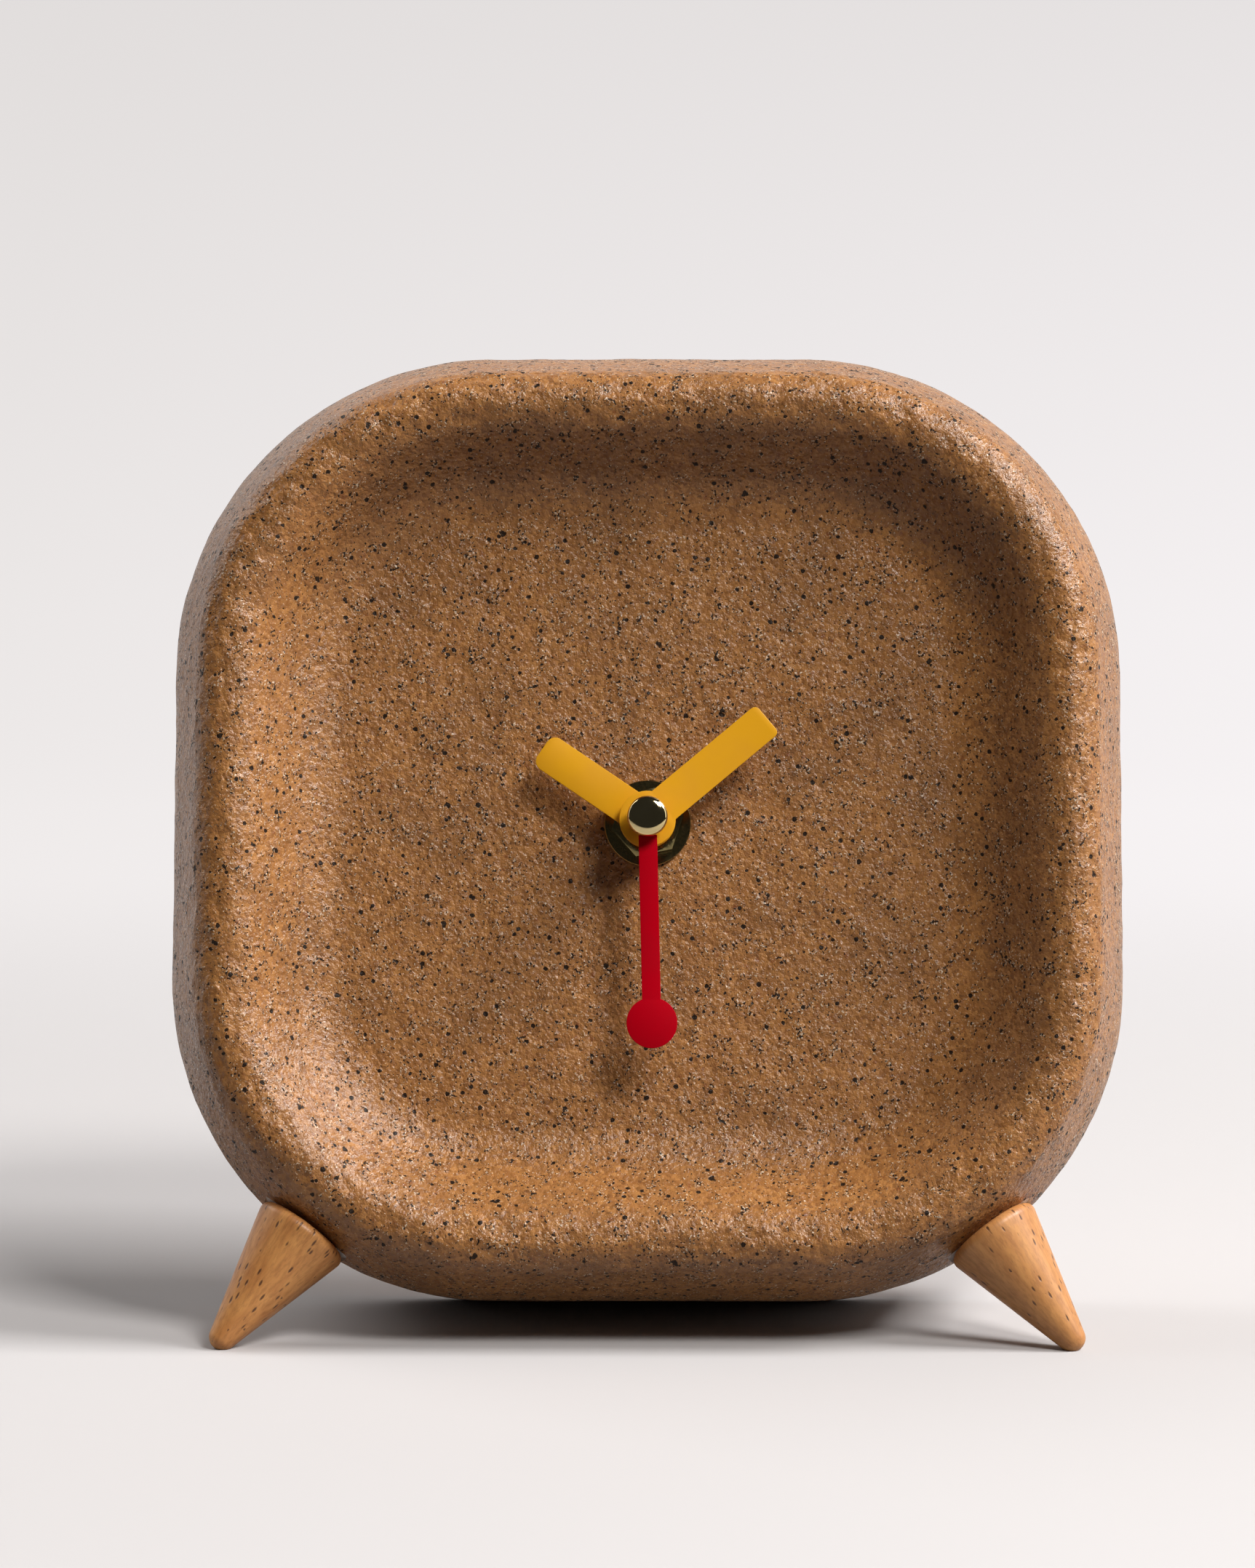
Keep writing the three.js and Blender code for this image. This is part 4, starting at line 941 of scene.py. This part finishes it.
def joined(first, other):
    """One object from two that are one piece of metal."""
    sheet = bmesh.new()
    for obj in (first, other):
        sheet.from_mesh(obj.data)
    sheet.to_mesh(first.data)
    sheet.free()
    bpy.data.objects.remove(other)
    return cleaned(first, 30)


print("helpers for plates are ready")

# %% [markdown]
# The hour and the minute hand are bars that grow out of a round hub. Each has a short collar at the
# back, which grips its tube, so a hand is a plate and a turned ring in one piece. A hand's back is
# given as a depth behind the rim's crest, and its direction in degrees from twelve o'clock.

# %% Hour and minute hands
HAND_HUB, HAND_WIDTH, HAND_THICKNESS, HAND_BEVEL = 4.85, 6.35, 0.4, 0.07
COLLAR_WALL, COLLAR_REACH, COLLAR_CHAMFER = 0.5, 0.8, 0.05


def bar_outline(length, corner):
    """A bar that grows out of a round hub and ends square with rounded corners, pointing up."""
    half = HAND_WIDTH / 2
    start = math.asin(half / HAND_HUB)
    right = arc((half - corner, length - corner), corner, 0, QUARTER, 10)
    left = arc((corner - half, length - corner), corner, QUARTER, 2 * QUARTER, 10)
    hub = arc((0, 0), HAND_HUB, QUARTER + start, 5 * QUARTER - start, 64)
    return [*right, *left, *hub]


def bar_hand(name, length, corner, degrees, back, bore):
    place = on_face(degrees)
    front, end, outside = back - HAND_THICKNESS, back + COLLAR_REACH, bore + COLLAR_WALL
    hand = flat_plate(name, [bar_outline(length, corner), circle(outside)], front, back, HAND_BEVEL,
                      place, YELLOW)
    ring = [(bore, -front), (outside - COLLAR_CHAMFER, -front), (outside, -front - COLLAR_CHAMFER),
            (outside, -end), (bore, -end)]
    return joined(hand, spun(name + "_collar", ring, 72, place, YELLOW))


hour = bar_hand("painted_hour_hand", length=22, corner=1.7, degrees=304.2, back=8.0, bore=2.75)
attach(hour, "hours")
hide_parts("hour_hand")
minute = bar_hand("painted_minute_hand", length=27, corner=1.0, degrees=50, back=5.9, bore=1.85)
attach(minute, "minutes")
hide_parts("minute_hand")
print("hour hand", triangles(hour), "and minute hand", triangles(minute), "triangles")

# %% [markdown]
# The second hand is one strip with a small round root under the cap and a disc at its end. Its
# outline is drawn as one loop: round the disc, up one side, round the root and down the other side.

# %% Second hand
REACH, STRIP, DISC, ROOT = 35.3, 3.2, 4.35, 2.6
SECOND_FRONT, SECOND_BACK, SECOND_BEVEL, SECOND_BORE, SECOND_DEGREES = 3.4, 3.8, 0.06, 1.05, 178.7


def second_outline():
    at_disc = math.asin(STRIP / 2 / DISC)
    at_root = math.asin(STRIP / 2 / ROOT)
    disc = arc((0, REACH), DISC, -QUARTER + at_disc, 3 * QUARTER - at_disc, 64)
    root = arc((0, 0), ROOT, QUARTER + at_root, 5 * QUARTER - at_root, 40)
    return [*disc, *root]


second = flat_plate("painted_second_hand", [second_outline(), circle(SECOND_BORE, 40)], SECOND_FRONT,
                    SECOND_BACK, SECOND_BEVEL, on_face(SECOND_DEGREES), RED)
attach(second, "seconds")
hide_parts("second_hand")
print(second.name, triangles(second), "triangles")

# %% [markdown]
# ## Cap, washer and nut
# The cap is a polished brass button with a blind bore. Its top is flatter than a ball and its edge
# rounder, as a superellipse's section is, and its side is straight, so that from the front it mirrors
# the dark room in the middle and the pale paper only along its edge.

# %% Cap
CAP_RADIUS, CAP_BASE, CAP_HEIGHT, CAP_DOME = 3.5, 3.15, 3.0, 1.5
CAP_SQUARENESS, CAP_EDGE, CAP_BORE, CAP_BORE_DEPTH, CAP_STEPS = 0.62, 0.12, 0.7, 1.5, 40
CAP_SHOULDER = CAP_HEIGHT - CAP_DOME - CAP_BASE
dome = []
for turn in [QUARTER * i / CAP_STEPS for i in range(CAP_STEPS)]:
    dome.append((CAP_RADIUS * math.sin(turn) ** CAP_SQUARENESS,
                 CAP_SHOULDER + CAP_DOME * math.cos(turn) ** CAP_SQUARENESS))
side = [(CAP_RADIUS, CAP_SHOULDER), (CAP_RADIUS, -CAP_BASE + CAP_EDGE),
        (CAP_RADIUS - CAP_EDGE, -CAP_BASE)]
bore_end = -CAP_BASE + CAP_BORE_DEPTH
bore = [(CAP_BORE, -CAP_BASE), (CAP_BORE, bore_end), (0, bore_end)]
cap = spun("brass_hub_cap", [*dome, *side, *bore], 96, on_face(), CAP_BRASS)
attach(cap, "seconds")
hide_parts("hub_cap")
print("cap", triangles(cap), "triangles")

# %% [markdown]
# The washer is a flat ring under the nut. Its edges have a fine bevel that catches the light.

# %% Washer
WASHER_BORE, WASHER_RADIUS, WASHER_FRONT, WASHER_BACK = 4.2, 7.5, 12.85, 13.35
INNER_BEVEL, OUTER_BEVEL = 0.05, 0.1
ring = [(WASHER_BORE, -WASHER_FRONT - INNER_BEVEL), (WASHER_BORE + INNER_BEVEL, -WASHER_FRONT),
        (WASHER_RADIUS - OUTER_BEVEL, -WASHER_FRONT), (WASHER_RADIUS, -WASHER_FRONT - OUTER_BEVEL),
        (WASHER_RADIUS, -WASHER_BACK + OUTER_BEVEL), (WASHER_RADIUS - OUTER_BEVEL, -WASHER_BACK),
        (WASHER_BORE + INNER_BEVEL, -WASHER_BACK), (WASHER_BORE, -WASHER_BACK + INNER_BEVEL)]
washer = spun("brass_dial_washer", ring, 128, on_face(), DARK_BRASS)
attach(washer, "base")
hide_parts("dial_washer")
print("washer", triangles(washer), "triangles")

# %% [markdown]
# A nut starts as a hexagon bar and is faced in a lathe, which leaves the curved chamfers on its
# corners. So the plate is a plain hexagon, and a turned cone takes its corners off.

# %% Hexagon nut
NUT_FRONT, NUT_BACK, NUT_FLATS, NUT_BORE, NUT_DEGREES, NUT_BEVEL = 10.0, 12.6, 11.0, 4.2, 11.7, 0.05
CONE_START, CONE_END, CONE_DROP, CONE_ABOVE = 5.4, 8, 0.9, 0.2
nut_corner = NUT_FLATS / 2 / math.cos(math.pi / 6)
hexagon = [(nut_corner * math.cos(t), nut_corner * math.sin(t))
           for t in [math.radians(NUT_DEGREES) + i * math.pi / 3 for i in range(6)]]
nut = flat_plate("brass_hex_nut", [hexagon, circle(NUT_BORE)], NUT_FRONT, NUT_BACK, NUT_BEVEL,
                 on_face(), DARK_BRASS)
cone = [(CONE_START, -NUT_FRONT + CONE_ABOVE), (CONE_END, -NUT_FRONT + CONE_ABOVE),
        (CONE_END, -NUT_FRONT - CONE_DROP), (CONE_START, -NUT_FRONT)]
cleaned(carved(nut, spun("nut_cone", cone, 96, on_face())), 20)
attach(nut, "base")
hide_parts("hex_nut")
print("nut", triangles(nut), "triangles")

# %% [markdown]
# ## The movement behind
# The rest of the frame keeps its CAD shapes: the movement's case, the train of wheels, the motor and
# the contacts. Each node gets the finish of what it is made of.

# %% Finishes for the CAD nodes
NODE_FINISHES = {
    DOWEL_WOOD: "left_leg_dowel right_leg_dowel",
    RUBBER: "rubber_gasket",
    DARK_BRASS: "second_hand_tube hour_wheel minute_wheel",
    STEEL: "seconds_wheel quartz_crystal cover_screw_1 cover_screw_2",
    ACETAL: "third_wheel fifth_wheel works_wheel rotor_pinion",
    IRON: "stator coil_core",
    MAGNET: "rotor_magnet",
    COPPER: "coil_winding",
    NICKEL: "battery_contact_positive battery_contact_negative",
    BLACK_PLASTIC: "movement_case train_bridge movement_cover setting_knob",
    DARK_PLASTIC: "coil_bobbin",
    BOARD: "circuit_board",
    RESIN: "timing_chip",
    SLEEVE: "battery_cell",
}
for material, names in NODE_FINISHES.items():
    for name in names.split():
        mesh = frame["nodes"][name].data
        mesh.materials.clear()
        mesh.materials.append(material)
    print(material.name, "on", names)

# %% [markdown]
# ## Studio
# The clock stands on a pale sweep: a floor that curves up into a wall behind, so that no horizon
# shows. The far paper glows by itself, but only to the camera and in reflections, so the backdrop
# stays pale with no more light on the clock. Its glow is painted darker to the left and higher up,
# as painted shade on the backdrop. In front, light that bounces meets much darker paper, as if the
# table ended there, which is painted shade on the clock's lower and inner faces, and what gloss
# mirrors is a little darker there too, as a painted darker reflection.

# %% Paper for the floor and backdrop
# The shaded paper colour is painted shade for light that the front paper bounces.
PAPER, SHADED_PAPER, NO_LIGHT = colour(201, 197, 196), colour(62, 60, 58), (0, 0, 0, 1)
# The backdrop glow is painted darker to the left and higher up, as painted shade.
SHADED_GLOW_LEFT, GLOW_RIGHT, SHADED_GLOW_ABOVE = colour(231, 227, 226), colour(241, 237, 238), colour(217, 213, 212)
MIRRORED_SHADE = 0.4


def sweep_paper():
    material, tree, shader = finish("paper_sweep", PAPER, 0.9)
    place = place_of(tree)
    across, back, up = add(tree, "ShaderNodeSeparateXYZ", {0: place}).outputs
    rays = add(tree, "ShaderNodeLightPath").outputs
    seen = calc(tree, "MAXIMUM", rays["Is Camera Ray"], rays["Is Glossy Ray"])
    seen = calc(tree, "MAXIMUM", seen, rays["Is Transmission Ray"])
    # Painted shade: near paper is dark for bounced light and partly dark in what gloss mirrors.
    mirrored = calc(tree, "MULTIPLY", rays["Is Glossy Ray"], MIRRORED_SHADE)
    shading = calc(tree, "ADD", calc(tree, "SUBTRACT", 1.0, seen), mirrored)
    shading = calc(tree, "MULTIPLY", remap(tree, back, -0.13, 0.1, 1.0, 0.0), shading)
    far = calc(tree, "MULTIPLY", remap(tree, back, 0.12, 0.7, kind="SMOOTHSTEP"), seen)
    shade = mix(tree, far, mix(tree, shading, PAPER, SHADED_PAPER), NO_LIGHT)
    # Painted shade on the backdrop: darker glow to the left and higher up.
    glow = mix(tree, remap(tree, across, -0.3, 0.3), SHADED_GLOW_LEFT, GLOW_RIGHT)
    glow = mix(tree, remap(tree, up, 0.05, 0.45, 0.0, 0.8), glow, SHADED_GLOW_ABOVE)
    grain = noise(tree, place, 1.5, 3.0)
    wire(tree, shader, Base_Color=shade, Emission_Color=glow, Emission_Strength=far,
         Normal=bump(tree, grain, 0.02, 0.3))
    return material


PAPER_SWEEP = sweep_paper()
print("made", PAPER_SWEEP.name)

# %% [markdown]
# The sheet is one profile, drawn from the front edge to the top of the wall and stretched sideways.
# It is wide, so that views from the side still look along paper.

# %% Floor and backdrop
SWEEP_RADIUS, SWEEP_REACH, WALL_TOP = 0.9, 8, 2.6


def paper_sheet():
    curve = arc((SWEEP_RADIUS, SWEEP_RADIUS), SWEEP_RADIUS, -QUARTER, 0, 24)
    profile = [(-SWEEP_REACH, 0), (0, 0), *curve, (2 * SWEEP_RADIUS, WALL_TOP)]
    sheet = bmesh.new()
    left, right = [[sheet.verts.new((x, y, z)) for y, z in profile]
                   for x in (-SWEEP_REACH, SWEEP_REACH)]
    for i in range(len(profile) - 1):
        sheet.faces.new((left[i], right[i], right[i + 1], left[i + 1]))
    bmesh.ops.recalc_face_normals(sheet, faces=sheet.faces)
    mesh = as_mesh(sheet, "paper_sweep")
    mesh.shade_smooth()
    mesh.materials.append(PAPER_SWEEP)
    return in_scene("paper_sweep", mesh)


floor = paper_sheet()
print("floor and backdrop:", floor.name)

# %% [markdown]
# A softbox high on the right in front throws the hands' shadows down to the left. A second one over
# the right side skims the face, so that the dish's left and lower walls are bright and its upper and
# right walls stay in shade. Pale cards fill the other sides, and the room is nearly dark, which the
# brass mirrors.

# %% Lights
TARGET, LIGHT_DISTANCE = Vector((0, -0.02, 0.08)), 2.2
WARM_WHITE, ROOM, ROOM_LIGHT = (1.0, 0.99, 0.975), (0.8, 0.82, 0.86, 1), 0.03


def softbox(name, direction, width, height, watts, tint=(1, 1, 1)):
    data = bpy.data.lights.new(name, "AREA")
    data.shape, data.size, data.size_y = "RECTANGLE", width, height
    data.energy, data.color = watts, tint
    light = in_scene(name, data)
    away = Vector(direction).normalized()
    light.location = TARGET + away * LIGHT_DISTANCE
    light.rotation_euler = away.to_track_quat("Z", "Y").to_euler()


softbox("key_softbox", (0.43, -0.54, 0.72), 0.6, 0.6, 33, WARM_WHITE)
softbox("top_softbox", (0.72, -0.08, 0.7), 0.8, 0.8, 52)
softbox("side_softbox", (0.95, -0.1, 0.35), 1.0, 1.4, 5)
softbox("rear_card", (-0.65, 0.3, 0.7), 1.4, 1.4, 15)
softbox("left_card", (-0.95, 0.1, 0.35), 1.4, 1.4, 3)

world = bpy.data.worlds.new("studio_room")
world.use_nodes = True
background = world.node_tree.nodes["Background"].inputs
background["Color"].default_value, background["Strength"].default_value = ROOM, ROOM_LIGHT
bpy.context.scene.world = world
bpy.context.scene.view_settings.view_transform = "Standard"
